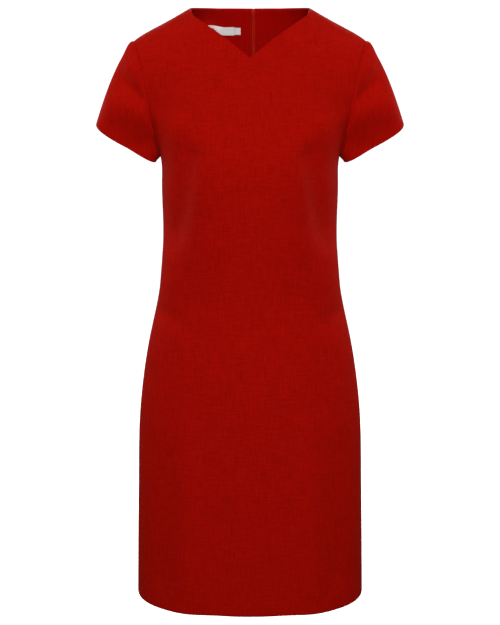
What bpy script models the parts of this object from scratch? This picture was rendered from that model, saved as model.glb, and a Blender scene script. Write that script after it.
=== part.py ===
"""Fitted knee-length dress: a V neck, short set-in sleeves and a concealed zip at the centre back.

The dress is filled out with nobody in it. Each piece that is cut and sewn is one closed cloth wall.
Metres, +Z up. The front faces -Y. The origin is midway between the shoulder seams, where it is held.
"left" pieces lie at -X and "right" pieces at +X, as seen from the front.
"""
from collections import namedtuple
import math

import bmesh
import bpy
from mathutils import Vector
from mathutils.bvhtree import BVHTree
import numpy as np

# Driving sizes of the cut
NECK_HALF_WIDTH = 0.0950
NECK_POINT_HEIGHT = 0.0260
SHOULDER_POINT_HEIGHT = -0.0250
UNDERARM_HEIGHT = -0.2100
HEM_HEIGHT = -0.9680
BACK_NECK_HEIGHT = 0.0220
ZIP_X = 0.0055
ZIP_BOTTOM_HEIGHT = -0.4900

# Cloth and seams
CLOTH = 0.0015
LINING_CLOTH = 0.0010
SEAM_GAP = 0.0003
ZIP_SEAM_SPREAD = 0.0008
ZIP_SPREAD_REACH = 0.0030

# Grid of the panels
LOWER_ROWS = 20
UNDERARM_ROWS = 2
ARMHOLE_ROWS = 11
SHOULDER_COLUMNS = 5
NECK_COLUMNS = 9
LEVEL_BELOW_UNDERARM = 0.0350
UPPER_ROWS = UNDERARM_ROWS + ARMHOLE_ROWS
HALF_COLUMNS = SHOULDER_COLUMNS + NECK_COLUMNS
NORMAL_TURN_STEP = 0.004
NORMAL_HEIGHT_STEP = 0.0008
SHORT_OF_QUARTER = 1.0 - 1e-9
SHARP_ANGLE = math.radians(40)

FRONT = -1.0
BACK = 1.0
QUARTER_TURN = math.pi / 2

# Level sections of the whole dress, top to bottom. Above the underarm the width is that of the
# arm root, from which the armholes are cut.
Section = namedtuple("Section", "height half_width front_depth back_depth front_squareness back_squareness")
SECTIONS = [
    Section(0.0260, 0.0950, 0.0560, 0.0560, 2.00, 2.00),
    Section(0.0010, 0.1397, 0.0680, 0.0700, 2.00, 2.00),
    Section(-0.0250, 0.1845, 0.0790, 0.0820, 2.00, 2.00),
    Section(-0.0500, 0.1990, 0.0880, 0.0915, 1.98, 2.00),
    Section(-0.0850, 0.2000, 0.0990, 0.1010, 1.94, 1.98),
    Section(-0.1300, 0.1830, 0.1110, 0.1070, 1.95, 1.98),
    Section(-0.1800, 0.1560, 0.1210, 0.1080, 2.16, 2.05),
    Section(-0.2100, 0.1450, 0.1240, 0.1060, 2.30, 2.12),
    Section(-0.2500, 0.1436, 0.1215, 0.1010, 2.32, 2.16),
    Section(-0.3200, 0.1428, 0.1075, 0.0910, 2.24, 2.16),
    Section(-0.3800, 0.1448, 0.1000, 0.0885, 2.20, 2.14),
    Section(-0.4400, 0.1517, 0.1010, 0.0965, 2.18, 2.14),
    Section(-0.5100, 0.1668, 0.1080, 0.1130, 2.18, 2.16),
    Section(-0.5800, 0.1790, 0.1145, 0.1225, 2.22, 2.20),
    Section(-0.6500, 0.1866, 0.1190, 0.1240, 2.28, 2.26),
    Section(-0.7500, 0.1902, 0.1222, 0.1215, 2.36, 2.34),
    Section(-0.8600, 0.1930, 0.1242, 0.1195, 2.42, 2.40),
    Section(-0.9680, 0.1953, 0.1255, 0.1185, 2.46, 2.44),
]

# The armhole's cut edge: how far from the centre it lies at each height, on the front and the back
ArmholeRow = namedtuple("ArmholeRow", "height front_x back_x")
ARMHOLE = [
    ArmholeRow(-0.0250, 0.1845, 0.1845),
    ArmholeRow(-0.0500, 0.1745, 0.1780),
    ArmholeRow(-0.0800, 0.1680, 0.1725),
    ArmholeRow(-0.1100, 0.1632, 0.1670),
    ArmholeRow(-0.1400, 0.1586, 0.1610),
    ArmholeRow(-0.1700, 0.1522, 0.1535),
    ArmholeRow(-0.1950, 0.1465, 0.1468),
    ArmholeRow(-0.2100, 0.1450, 0.1450),
]

# Half of the front neckline, from the neck point to the V, and of the back one to the centre back
NeckRow = namedtuple("NeckRow", "x height")
FRONT_NECK = [
    NeckRow(0.0950, 0.0260),
    NeckRow(0.0885, 0.0165),
    NeckRow(0.0760, 0.0090),
    NeckRow(0.0400, -0.0150),
    NeckRow(0.0000, -0.0450),
]
BACK_NECK = [
    NeckRow(0.0950, 0.0260),
    NeckRow(0.0800, 0.0246),
    NeckRow(0.0500, 0.0228),
    NeckRow(0.0000, 0.0220),
]

# Soft folds and fullness: an axis from one place to another as seen from the front, the reach to
# each side and the rise of the cloth, which is negative for a trough. mirrored adds the other side.
Fold = namedtuple("Fold", "start_x start_height end_x end_height reach rise mirrored")
FRONT_FOLDS = [
    Fold(0.0820, -0.2000, 0.0780, -0.2350, 0.0480, 0.0060, True),
    Fold(0.0960, -0.1950, 0.1160, -0.3200, 0.0200, -0.0050, True),
    Fold(0.1160, -0.1500, 0.1260, -0.1620, 0.0220, 0.0030, True),
    Fold(0.1300, -0.0900, 0.1380, -0.1500, 0.0200, -0.0030, True),
    Fold(0.1300, -0.3700, 0.1380, -0.4400, 0.0200, 0.0030, True),
    Fold(0.1400, -0.4620, 0.1240, -0.4700, 0.0140, -0.0025, True),
    Fold(0.1460, -0.4950, 0.1600, -0.5350, 0.0200, 0.0025, True),
    Fold(0.1080, -0.7200, 0.1120, -0.9680, 0.0280, 0.0028, True),
    Fold(0.0520, -0.8000, 0.0580, -0.9680, 0.0260, -0.0020, True),
]
BACK_FOLDS = [
    Fold(0.1150, -0.1250, 0.1250, -0.1800, 0.0220, 0.0030, True),
    Fold(0.0500, -0.2650, 0.0700, -0.3300, 0.0240, -0.0035, True),
    Fold(0.0350, -0.3450, 0.1100, -0.3300, 0.0160, -0.0035, False),
    Fold(0.0300, -0.3800, 0.1000, -0.3980, 0.0160, -0.0028, False),
    Fold(-0.0350, -0.3620, -0.1100, -0.3480, 0.0170, -0.0035, False),
    Fold(-0.0500, -0.4050, -0.1050, -0.4200, 0.0150, -0.0024, False),
    Fold(0.0980, -0.6700, 0.1060, -0.9680, 0.0280, 0.0028, True),
    Fold(-0.0420, -0.7400, -0.0500, -0.9680, 0.0260, -0.0026, False),
    Fold(0.0560, -0.7900, 0.0480, -0.9680, 0.0240, -0.0020, False),
]

# The sleeve's hem ring, seen from the front: its outer end, its inner end and its half depth
SLEEVE_HEM_OUTER = (0.2495, -0.1630)
SLEEVE_HEM_INNER = (0.1530, -0.2208)
SLEEVE_HALF_DEPTH = 0.0410
SLEEVE_HEM_SET_BACK = 0.0050
SLEEVE_HEM_SQUARENESS = 2.9
SLEEVE_ROWS = 9
SLEEVE_HEM_COURSE = (0.30, -0.954)
SLEEVE_LEAVING = 0.74
SLEEVE_HEM_ARRIVING = 0.79
SLEEVE_ROW_CROWDING = 1.30
LEAVING_SQUEEZE = (1.0, 0.2, 1.0)
SLEEVE_CAP_SWELL = 0.0030
SLEEVE_CAP_RISE = (0.0, 0.06)
SLEEVE_CAP_FALL = (0.07, 0.26)
SLEEVE_FOLD_FACING = (0.1, 0.7)
SLEEVE_FOLD_START = (0.0, 0.2)
SLEEVE_FRONT_FOLDS = [
    Fold(0.1780, -0.0900, 0.2080, -0.0720, 0.0120, -0.0040, False),
    Fold(0.1680, -0.1230, 0.2150, -0.1180, 0.0120, 0.0035, False),
    Fold(0.1780, -0.1560, 0.1980, -0.1620, 0.0160, -0.0050, False),
    Fold(0.2280, -0.1300, 0.2380, -0.1560, 0.0120, 0.0020, False),
]
SLEEVE_BACK_FOLDS = [
    Fold(0.1800, -0.0850, 0.2100, -0.0780, 0.0130, -0.0030, False),
    Fold(0.1750, -0.1180, 0.2150, -0.1260, 0.0130, 0.0030, False),
    Fold(0.1800, -0.1500, 0.2050, -0.1640, 0.0150, -0.0040, False),
]

# Facing of the back neck, counted in the panel's own rows and columns
FACING_ROWS = 4
FACING_SHOULDER_COLUMNS = 2
FACING_ROLL = 0.0008
FACING_FIRST_COLUMN = 2
FACING_STEP = 0.0040

# Zip
COIL_HALF_WIDTH = 0.0025
COIL_THICKNESS = 0.0016
TAPE_WIDTH = 0.0100
TAPE_THICKNESS = 0.0008
FACING_FROM_COIL = 0.0030
ZIP_TOP_BELOW_NECK = 0.0020
SLIDER_HEIGHT = 0.0090
SLIDER_HALF_WIDTH = 0.0030
SLIDER_SHOULDER = 0.0040
SLIDER_NOSE_HALF_WIDTH = 0.0022
SLIDER_DEPTH = 0.0030
SLIDER_NECK_HALF_WIDTH = 0.0004
SLIDER_NECK_HEIGHT = 0.0040
BRIDGE_HALF_WIDTH = 0.0018
BRIDGE_HEIGHT = 0.0070
BRIDGE_THICKNESS = 0.0008
BRIDGE_STAND_OFF = 0.0004
BAIL_HALF_WIDTH = 0.0008
BAIL_EYE_RADIUS = 0.0011
BAIL_WALL = 0.0009
PULL_BAR_RADIUS = 0.00075
PULL_BAR_HALF_LENGTH = 0.0018
PULL_ARM_HALF_SPREAD = 0.0021
PULL_THICKNESS = 0.0011
PULL_LENGTH = 0.0220
PULL_HALF_WIDTH = 0.0024
PULL_TIP_HALF_WIDTH = 0.0015
ROUND_STEPS = 16

# Label
LABEL_LEFT_X = -0.0760
LABEL_RIGHT_X = -0.0255
TAB_RIGHT_X = -0.0155
LABEL_TOP = -0.0090
LABEL_HEIGHT = 0.0135
TAB_HEIGHT = 0.0115
LABEL_LIFTED_FROM_X = -0.0570
LABEL_END_LIFT = 0.0065
LABEL_THICKNESS = 0.0008
LABEL_STEPS = 10
TAB_STEPS = 2

Finish = namedtuple("Finish", "colour roughness metallic")
RED_CLOTH = Finish((0.290, 0.005, 0.001, 1.0), 0.85, 0.0)
RED_FACING = Finish((0.230, 0.003, 0.001, 1.0), 0.80, 0.0)
RED_TAPE = Finish((0.250, 0.006, 0.003, 1.0), 0.75, 0.0)
RED_NYLON = Finish((0.330, 0.050, 0.030, 1.0), 0.45, 0.0)
RED_ENAMEL = Finish((0.300, 0.020, 0.010, 1.0), 0.35, 0.0)
WHITE_RIBBON = Finish((0.880, 0.880, 0.870, 1.0), 0.60, 0.0)


# Curves and small helpers

def smooth_curve(knots, values):
    """Return a natural cubic curve through the values, as a function of the knots' variable."""
    order = np.argsort(knots)
    at = np.asarray(knots, float)[order]
    value = np.asarray(values, float)[order]
    span = np.diff(at)
    count = len(at)
    matrix = np.eye(count)
    right = np.zeros(count)
    for index in range(1, count - 1):
        before, after = span[index - 1], span[index]
        matrix[index, index - 1:index + 2] = (before, 2 * (before + after), after)
        rise_after = (value[index + 1] - value[index]) / after
        rise_before = (value[index] - value[index - 1]) / before
        right[index] = 6 * (rise_after - rise_before)
    bend = np.linalg.solve(matrix, right)

    def curve(where):
        where = np.clip(np.asarray(where, float), at[0], at[-1])
        cell = np.clip(np.searchsorted(at, where) - 1, 0, count - 2)
        width = span[cell]
        after = (where - at[cell]) / width
        before = 1 - after
        line = before * value[cell] + after * value[cell + 1]
        cubic = (before ** 3 - before) * bend[cell] + (after ** 3 - after) * bend[cell + 1]
        return line + cubic * width ** 2 / 6

    return curve


def table_curve(rows, column, knot="height"):
    """Return the smooth curve of one column of a table."""
    return smooth_curve([getattr(row, knot) for row in rows], [getattr(row, column) for row in rows])


def unit(vectors):
    """Return the vectors at length one."""
    return vectors / np.linalg.norm(vectors, axis=-1, keepdims=True)


def fade(value, low, high):
    """Rise smoothly from 0 at low to 1 at high."""
    share = np.clip((value - low) / (high - low), 0.0, 1.0)
    return share * share * (3 - 2 * share)


def fold_rise(folds, x, height):
    """Return how far the folds lift the cloth at places seen from the front."""
    total = np.zeros_like(x)
    for fold in folds:
        sides = (1.0, -1.0) if fold.mirrored else (1.0,)
        for side in sides:
            start = np.array((side * fold.start_x, fold.start_height))
            course = np.array((side * fold.end_x, fold.end_height)) - start
            along = ((x - start[0]) * course[0] + (height - start[1]) * course[1]) / course.dot(course)
            along = np.clip(along, 0.0, 1.0)
            aside = np.hypot(x - start[0] - along * course[0], height - start[1] - along * course[1])
            total = total + fold.rise * np.exp(-(aside / fold.reach) ** 2)
    return total


HALF_WIDTH = table_curve(SECTIONS, "half_width")
DEPTH = {FRONT: table_curve(SECTIONS, "front_depth"), BACK: table_curve(SECTIONS, "back_depth")}
SQUARENESS = {FRONT: table_curve(SECTIONS, "front_squareness"),
              BACK: table_curve(SECTIONS, "back_squareness")}
FOLDS = {FRONT: FRONT_FOLDS, BACK: BACK_FOLDS}
ARMHOLE_X = {FRONT: table_curve(ARMHOLE, "front_x"), BACK: table_curve(ARMHOLE, "back_x")}
NECK_HEIGHT = {FRONT: FRONT_NECK, BACK: BACK_NECK}
SIDE_FADE = (0.02, 0.40)


# The dress's outer form. A place on it is a face, a turn and a height: the turn is 0 at the middle
# of the front or the back and a quarter turn at the side seam and the shoulder seam.

def form_point(face, turn, height):
    """Return the outer places of the cloth."""
    turn, height = np.broadcast_arrays(np.asarray(turn, float), np.asarray(height, float))
    width = HALF_WIDTH(height)
    depth = DEPTH[face](height)
    power = SQUARENESS[face](height)
    across = np.sin(turn)
    ahead = np.cos(turn)
    scale = (np.abs(across) ** power + np.abs(ahead) ** power) ** (-1 / power)
    x = width * scale * across
    y = face * depth * scale * ahead
    rise = fold_rise(FOLDS[face], x, height) * fade(np.abs(ahead), *SIDE_FADE)
    outward = unit(np.stack((across / width, face * ahead / depth), axis=-1))
    return np.stack((x + rise * outward[..., 0], y + rise * outward[..., 1], height), axis=-1)


def form_normal(face, turn, height):
    """Return the outward normals of the cloth."""
    turn, height = np.broadcast_arrays(np.asarray(turn, float), np.asarray(height, float))
    after = form_point(face, turn + NORMAL_TURN_STEP, height)
    before = form_point(face, turn - NORMAL_TURN_STEP, height)
    above = form_point(face, turn, np.minimum(height + NORMAL_HEIGHT_STEP, SECTIONS[0].height))
    below = form_point(face, turn, height - NORMAL_HEIGHT_STEP)
    return unit(np.cross(after - before, above - below) * -face)


def turn_at(face, x, height):
    """Return the turn at which the level section is x from the middle."""
    power = SQUARENESS[face](height)
    share = np.clip(np.abs(x) / HALF_WIDTH(height), 0.0, SHORT_OF_QUARTER) ** power
    return np.sign(x) * np.arctan((share / (1 - share)) ** (1 / power))


def seam_turn(face, height):
    """Return the turn just short of the side and shoulder seams."""
    return QUARTER_TURN - SEAM_GAP / 2 / DEPTH[face](height)


# Edges of a panel in turns and heights, for the half at +X

def side_edge(face):
    """Return the side seam above the level rows and then the armhole, up to the shoulder point."""
    level = UNDERARM_HEIGHT - LEVEL_BELOW_UNDERARM
    seam_height = np.linspace(level, UNDERARM_HEIGHT, UNDERARM_ROWS + 1)
    share = np.linspace(0.0, 1.0, ARMHOLE_ROWS + 1)[1:]
    rise = (1 - np.cos(math.pi * share)) / 2
    armhole_height = UNDERARM_HEIGHT + (SHOULDER_POINT_HEIGHT - UNDERARM_HEIGHT) * rise
    height = np.concatenate((seam_height, armhole_height))
    turn = np.minimum(turn_at(face, ARMHOLE_X[face](height), height), seam_turn(face, height))
    turn[:UNDERARM_ROWS + 1] = seam_turn(face, seam_height)
    turn[-1] = seam_turn(face, height[-1])
    return np.stack((turn, height), axis=-1)


def neck_places(face, inner_x):
    """Return the neckline from the neck point to inner_x, as x and height."""
    rows = NECK_HEIGHT[face]
    reach = np.array([row.x for row in rows[::-1]])
    height = np.array([row.height for row in rows[::-1]])
    x = np.linspace(NECK_HALF_WIDTH, abs(inner_x), NECK_COLUMNS + 1)
    return x, np.interp(x, reach, height)


def top_edge(face, inner_x):
    """Return the shoulder seam and then the neckline, from the shoulder point to the middle."""
    seam_height = np.linspace(SHOULDER_POINT_HEIGHT, NECK_POINT_HEIGHT, SHOULDER_COLUMNS + 1)
    seam = np.stack((seam_turn(face, seam_height), seam_height), axis=-1)
    x, height = neck_places(face, inner_x)
    turn = np.minimum(turn_at(face, x, height), seam_turn(face, height))
    turn[-1] = turn_at(face, inner_x, height[-1])
    neck = np.stack((turn, height), axis=-1)
    return np.concatenate((seam, neck[1:]))


def blend_patch(low, high, left, right):
    """Fill a four-sided patch between its edges. low and high run left to right, the others up."""
    along = np.linspace(0.0, 1.0, len(low))[None, :, None]
    up = np.linspace(0.0, 1.0, len(left))[:, None, None]
    between_rows = (1 - up) * low[None] + up * high[None]
    between_columns = (1 - along) * left[:, None] + along * right[:, None]
    corner_low = (1 - along) * low[0] + along * low[-1]
    corner_high = (1 - along) * high[0] + along * high[-1]
    return between_rows + between_columns - (1 - up) * corner_low - up * corner_high


def mirrored_edge(edge):
    """Return the same edge on the other half."""
    return edge * np.array((-1.0, 1.0))


def level_rows(left_turn, right_turn, columns):
    """Return the rows from the hem to the level below the underarm."""
    level = UNDERARM_HEIGHT - LEVEL_BELOW_UNDERARM
    height = np.linspace(HEM_HEIGHT, level, LOWER_ROWS + 1)
    left = left_turn(height)
    right = right_turn(height)
    share = np.linspace(0.0, 1.0, columns + 1)
    turn = left[:, None] + (right - left)[:, None] * share[None]
    return np.stack(np.broadcast_arrays(turn, height[:, None]), axis=-1)


def front_grid():
    """Return the front panel's grid of turns and heights, row by row from the hem."""
    def left_seam(height):
        return -seam_turn(FRONT, height)

    def right_seam(height):
        return seam_turn(FRONT, height)

    lower = level_rows(left_seam, right_seam, 2 * HALF_COLUMNS)
    right = side_edge(FRONT)
    half_top = top_edge(FRONT, 0.0)
    top = np.concatenate((mirrored_edge(half_top), half_top[-2::-1]))
    upper = blend_patch(lower[-1], top, mirrored_edge(right), right)
    return np.concatenate((lower, upper[1:]))


def back_grid(side):
    """Return the grid of a back panel, from the centre back to its side: 1 at +X and -1 at -X."""
    def zip_x(height):
        spread = ZIP_SEAM_SPREAD * fade(height, BACK_NECK_HEIGHT - ZIP_SPREAD_REACH, BACK_NECK_HEIGHT)
        return side * ZIP_X + SEAM_GAP / 2 + spread

    def zip_turn(height):
        return turn_at(BACK, zip_x(height), height)

    lower = level_rows(zip_turn, lambda height: seam_turn(BACK, height), HALF_COLUMNS)
    right = side_edge(BACK)
    top = top_edge(BACK, float(zip_x(np.array(BACK_NECK_HEIGHT))))[::-1]
    zip_height = np.linspace(lower[-1, 0, 1], top[0, 1], UPPER_ROWS + 1)
    zip_edge = np.stack((zip_turn(zip_height), zip_height), axis=-1)
    zip_edge[-1] = top[0]
    upper = blend_patch(lower[-1], top, zip_edge, right)
    grid = np.concatenate((lower, upper[1:]))
    return grid * np.array((side, 1.0))


# Walls

def grid_faces(rows, columns, closed, first=0):
    """Return the triangles of a grid of points. A closed grid joins its last column to its first.

    Every grid has its diagonals the same way, so that pieces laid on each other have the same facets.
    """
    faces = []
    for row in range(rows - 1):
        for column in range(columns if closed else columns - 1):
            near = first + row * columns + column
            beside = first + row * columns + (column + 1) % columns
            faces.append((near, beside, beside + columns))
            faces.append((near, beside + columns, near + columns))
    return faces


def wall_solid(outer, inner, closed=False):
    """Return the points and faces of the closed wall between two grids of points."""
    rows, columns = outer.shape[:2]
    count = rows * columns
    points = np.concatenate((outer.reshape(-1, 3), inner.reshape(-1, 3)))
    faces = grid_faces(rows, columns, closed)
    faces += [tuple(reversed(face)) for face in grid_faces(rows, columns, closed, count)]
    last_row = (rows - 1) * columns
    if closed:
        rims = [list(range(columns)), list(range(last_row, count))]
    else:
        rim = list(range(columns - 1))
        rim += list(range(columns - 1, count - 1, columns))
        rim += list(range(count - 1, last_row, -1))
        rim += list(range(last_row, 0, -columns))
        rims = [rim]
    for rim in rims:
        faces += [(start, start + count, end + count, end) for start, end in zip(rim, rim[1:] + rim[:1])]
    return points, faces


def add_object(name, points, faces, finish, parent=None, smooth=True):
    """Add one closed mesh with its own material."""
    mesh = bpy.data.meshes.new(name)
    mesh.from_pydata([tuple(point) for point in points], [], faces)
    shape = bmesh.new()
    shape.from_mesh(mesh)
    bmesh.ops.recalc_face_normals(shape, faces=shape.faces)
    shape.to_mesh(mesh)
    shape.free()
    if smooth:
        mesh.shade_smooth()
        mesh.set_sharp_from_angle(angle=SHARP_ANGLE)
    material = bpy.data.materials.new(name)
    material.use_nodes = True
    shader = material.node_tree.nodes["Principled BSDF"]
    shader.inputs["Base Color"].default_value = finish.colour
    shader.inputs["Roughness"].default_value = finish.roughness
    shader.inputs["Metallic"].default_value = finish.metallic
    mesh.materials.append(material)
    item = bpy.data.objects.new(name, mesh)
    bpy.context.scene.collection.objects.link(item)
    item.parent = parent
    return item


def outer_and_inward(face, grid):
    """Return a panel's outer points and its inward directions."""
    turn = grid[..., 0]
    height = grid[..., 1]
    return form_point(face, turn, height), -form_normal(face, turn, height)


def add_panel(name, face, grid):
    """Add a panel of outer cloth and return its outer points and inward directions."""
    outer, inward = outer_and_inward(face, grid)
    points, faces = wall_solid(outer, outer + inward * CLOTH)
    add_object(name, points, faces, RED_CLOTH)
    return outer, inward


# Sleeves

def armhole_loop(front, back, column):
    """Return the armhole's points from the underarm, up the front, over and down the back."""
    front_edge = front[-ARMHOLE_ROWS - 1:, column[0]]
    back_edge = back[-ARMHOLE_ROWS - 1:, column[1]]
    underarm = (front_edge[:1] + back_edge[:1]) / 2
    shoulder = (front_edge[-1:] + back_edge[-1:]) / 2
    return np.concatenate((underarm, front_edge[1:-1], shoulder, back_edge[-2:0:-1]))


def sleeve_hem_ring(side, count):
    """Return the sleeve's hem from its inner end, round the front, the outer end and the back."""
    angle = np.linspace(0.0, 2 * math.pi, count, endpoint=False)
    power = SLEEVE_HEM_SQUARENESS
    scale = (np.abs(np.cos(angle)) ** power + np.abs(np.sin(angle)) ** power) ** (-1 / power)
    inner = np.array((side * SLEEVE_HEM_INNER[0], SLEEVE_HEM_SET_BACK, SLEEVE_HEM_INNER[1]))
    outer = np.array((side * SLEEVE_HEM_OUTER[0], SLEEVE_HEM_SET_BACK, SLEEVE_HEM_OUTER[1]))
    middle = (inner + outer) / 2
    forward = np.array((0.0, -SLEEVE_HALF_DEPTH, 0.0))
    across = (scale * np.cos(angle))[:, None] * (inner - middle)
    return middle + across + (scale * np.sin(angle))[:, None] * forward


def grid_normals(points):
    """Return the normals of a closed tube of points, rows along it and columns round it."""
    around = np.roll(points, -1, axis=1) - np.roll(points, 1, axis=1)
    along = np.gradient(points, axis=0)
    return unit(np.cross(around, along))


def sleeve_grid(side, loop, normals):
    """Return the sleeve's outer points and inward directions, from the armhole to its hem."""
    count = len(loop)
    course = np.roll(loop, -1, axis=0) - np.roll(loop, 1, axis=0)
    leaving = unit(np.cross(course, normals))
    shoulder = count // 2
    leaving *= np.sign(leaving[shoulder, 0]) * side
    start = loop + leaving * SEAM_GAP
    ring = sleeve_hem_ring(side, count)
    reach = np.linalg.norm(ring - start, axis=1)[:, None]
    hem_course = np.array((side * SLEEVE_HEM_COURSE[0], 0.0, SLEEVE_HEM_COURSE[1]))
    over = (1 - np.cos(np.linspace(0.0, 2 * math.pi, count, endpoint=False)))[:, None] / 2
    first_course = unit(leaving * LEAVING_SQUEEZE * over + hem_course * (1 - over))
    first = first_course * reach * SLEEVE_LEAVING
    last = hem_course * reach * SLEEVE_HEM_ARRIVING
    share = (np.linspace(0.0, 1.0, SLEEVE_ROWS) ** SLEEVE_ROW_CROWDING)[:, None, None]
    square = share ** 2
    cube = share ** 3
    points = (2 * cube - 3 * square + 1) * start + (cube - 2 * square + share) * first
    points = points + (3 * square - 2 * cube) * ring + (cube - square) * last
    outward = grid_normals(points)
    if np.sum(outward[:, shoulder, 0]) * side < 0:
        outward = -outward
    front_rise = fold_rise(SLEEVE_FRONT_FOLDS, side * points[..., 0], points[..., 2])
    back_rise = fold_rise(SLEEVE_BACK_FOLDS, side * points[..., 0], points[..., 2])
    rise = np.where(points[..., 1] < 0, front_rise, back_rise)
    rise = rise * fade(np.abs(outward[..., 1]), *SLEEVE_FOLD_FACING) * fade(share[..., 0], *SLEEVE_FOLD_START)
    cap = fade(share[..., 0], *SLEEVE_CAP_RISE) - fade(share[..., 0], *SLEEVE_CAP_FALL)
    rise = rise + SLEEVE_CAP_SWELL * cap * over[:, 0] ** 3
    points = points + outward * rise[..., None]
    inward = -grid_normals(points) * np.sign(np.sum(grid_normals(points)[:, shoulder, 0]) * side)
    toward_panel = np.minimum(np.sum(inward[0] * leaving, axis=1), 0.0)[:, None]
    inward[0] = unit(inward[0] - toward_panel * leaving)
    return points, inward


def add_sleeve(name, side, front, back):
    """Add a sleeve, sewn round the armhole of the front and the back panel."""
    column = (-1, -1) if side > 0 else (0, -1)
    loop = armhole_loop(front[0], back[0], column)
    normals = -unit(armhole_loop(front[1], back[1], column))
    outer, inward = sleeve_grid(side, loop, normals)
    points, faces = wall_solid(outer, outer + inward * CLOTH, closed=True)
    add_object(name, points, faces, RED_CLOTH)


# Pieces inside the back. Each lies on a panel: its points are the panel's own, moved inwards.

def zip_distance_places(panel, distance):
    """Return a panel's points and directions at a distance from its centre back edge, row by row."""
    outer, inward = panel
    places = []
    directions = []
    for points, course in zip(outer, inward):
        length = np.concatenate(((0.0,), np.cumsum(np.linalg.norm(np.diff(points, axis=0), axis=1))))
        column = min(int(np.searchsorted(length, distance, side="right")) - 1, len(points) - 2)
        share = (distance - length[column]) / (length[column + 1] - length[column])
        places.append(points[column] * (1 - share) + points[column + 1] * share)
        directions.append(course[column] * (1 - share) + course[column + 1] * share)
    return np.array(places), np.array(directions)


def add_lining_strip(name, columns, rows, thickness, top_drop, finish):
    """Add a wall on the panel's inner side. A column is its points, its directions and its lift."""
    lifted = [places + directions * (CLOTH + lift) for places, directions, lift in columns]
    under = np.stack(lifted, axis=1)[rows]
    direction = np.stack([directions for places, directions, lift in columns], axis=1)[rows]
    under[-1] += unit(under[-2] - under[-1]) * top_drop
    points, faces = wall_solid(under, under + direction * thickness)
    return add_object(name, points, faces, finish)


def add_tape(name, panel):
    """Add the zip tape that is sewn along a back panel's centre edge."""
    bottom = int(np.searchsorted(panel[0][:, 0, 2], ZIP_BOTTOM_HEIGHT))
    start = COIL_HALF_WIDTH + SEAM_GAP
    columns = [(*zip_distance_places(panel, distance), SEAM_GAP) for distance in (start, start + TAPE_WIDTH)]
    add_lining_strip(name, columns, slice(bottom, None), TAPE_THICKNESS, ZIP_TOP_BELOW_NECK, RED_TAPE)


def add_facing(name, panel):
    """Add the facing of the back neck, over the tape beside the zip and on the panel elsewhere."""
    outer, inward = panel
    over_tape = 2 * SEAM_GAP + TAPE_THICKNESS
    tape_end = COIL_HALF_WIDTH + SEAM_GAP + TAPE_WIDTH
    columns = [(*zip_distance_places(panel, COIL_HALF_WIDTH + FACING_FROM_COIL), over_tape),
               (*zip_distance_places(panel, tape_end + TAPE_THICKNESS), over_tape),
               (*zip_distance_places(panel, tape_end + FACING_STEP), SEAM_GAP)]
    for column in range(FACING_FIRST_COLUMN, NECK_COLUMNS + FACING_SHOULDER_COLUMNS + 1):
        columns.append((outer[:, column], inward[:, column], SEAM_GAP))
    rows = slice(-FACING_ROWS - 1, None)
    return add_lining_strip(name, columns, rows, LINING_CLOTH, FACING_ROLL, RED_FACING)


# Zip fittings. A place is given across, down along the back and out of the cloth.

def zip_frame(left, right):
    """Return the centre back's middle line, outer points and outward directions."""
    line = (left[0][:, 0] + right[0][:, 0]) / 2
    outward = -unit(left[1][:, 0] + right[1][:, 0])
    return line, outward


def add_coil(line, outward):
    """Add the closed coil below the slider."""
    bottom = int(np.searchsorted(line[:, 2], ZIP_BOTTOM_HEIGHT)) + 1
    middle = line[bottom:].copy()
    out = outward[bottom:]
    top_drop = ZIP_TOP_BELOW_NECK + SLIDER_HEIGHT + SEAM_GAP
    middle[-1] += unit(middle[-2] - middle[-1]) * top_drop
    across = np.array((COIL_HALF_WIDTH, 0.0, 0.0))
    under = np.stack([middle - across, middle + across], axis=1) - out[:, None] * (CLOTH + SEAM_GAP)
    inner = under - out[:, None] * COIL_THICKNESS
    points, faces = wall_solid(under, inner)
    add_object("zip_coil", points, faces, RED_NYLON)


def local_points(origin, down, out, places):
    """Turn places across, down and out into points."""
    across = np.array((1.0, 0.0, 0.0))
    return [origin + across * x + down * y + out * z for x, y, z in places]


def prism_faces(count):
    """Return the faces between two copies of an outline of count points."""
    faces = [tuple(range(count)), tuple(reversed(range(count, 2 * count)))]
    for index in range(count):
        beside = (index + 1) % count
        faces.append((index, index + count, beside + count, beside))
    return faces


def prism(origin, down, out, outline, low, high):
    """Return a flat plate: an outline across and down, from one distance out to another."""
    places = [(x, y, low) for x, y in outline] + [(x, y, high) for x, y in outline]
    return local_points(origin, down, out, places), prism_faces(len(outline))


def side_prism(origin, down, out, outline, half_width):
    """Return a plate across the zip: an outline down and out, as wide as given."""
    places = [(-half_width, y, z) for y, z in outline] + [(half_width, y, z) for y, z in outline]
    return local_points(origin, down, out, places), prism_faces(len(outline))


def rounded_outline(half_top, half_bottom, top, bottom):
    """Return an outline with rounded ends, across and down."""
    outline = []
    for step in range(ROUND_STEPS // 2 + 1):
        angle = math.pi * step / (ROUND_STEPS // 2)
        outline.append((half_bottom * math.cos(angle), bottom - half_bottom + half_bottom * math.sin(angle)))
    for step in range(ROUND_STEPS // 2 + 1):
        angle = math.pi + math.pi * step / (ROUND_STEPS // 2)
        outline.append((half_top * math.cos(angle), top + half_top + half_top * math.sin(angle)))
    return outline


def unite(target, others):
    """Join other closed shapes to the target with Boolean unions, applied to its mesh."""
    for other in others:
        union = target.modifiers.new("union", "BOOLEAN")
        union.operation = "UNION"
        union.object = other
        with bpy.context.temp_override(object=target, active_object=target):
            bpy.ops.object.modifier_apply(modifier=union.name)
        bpy.data.objects.remove(other)


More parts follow.
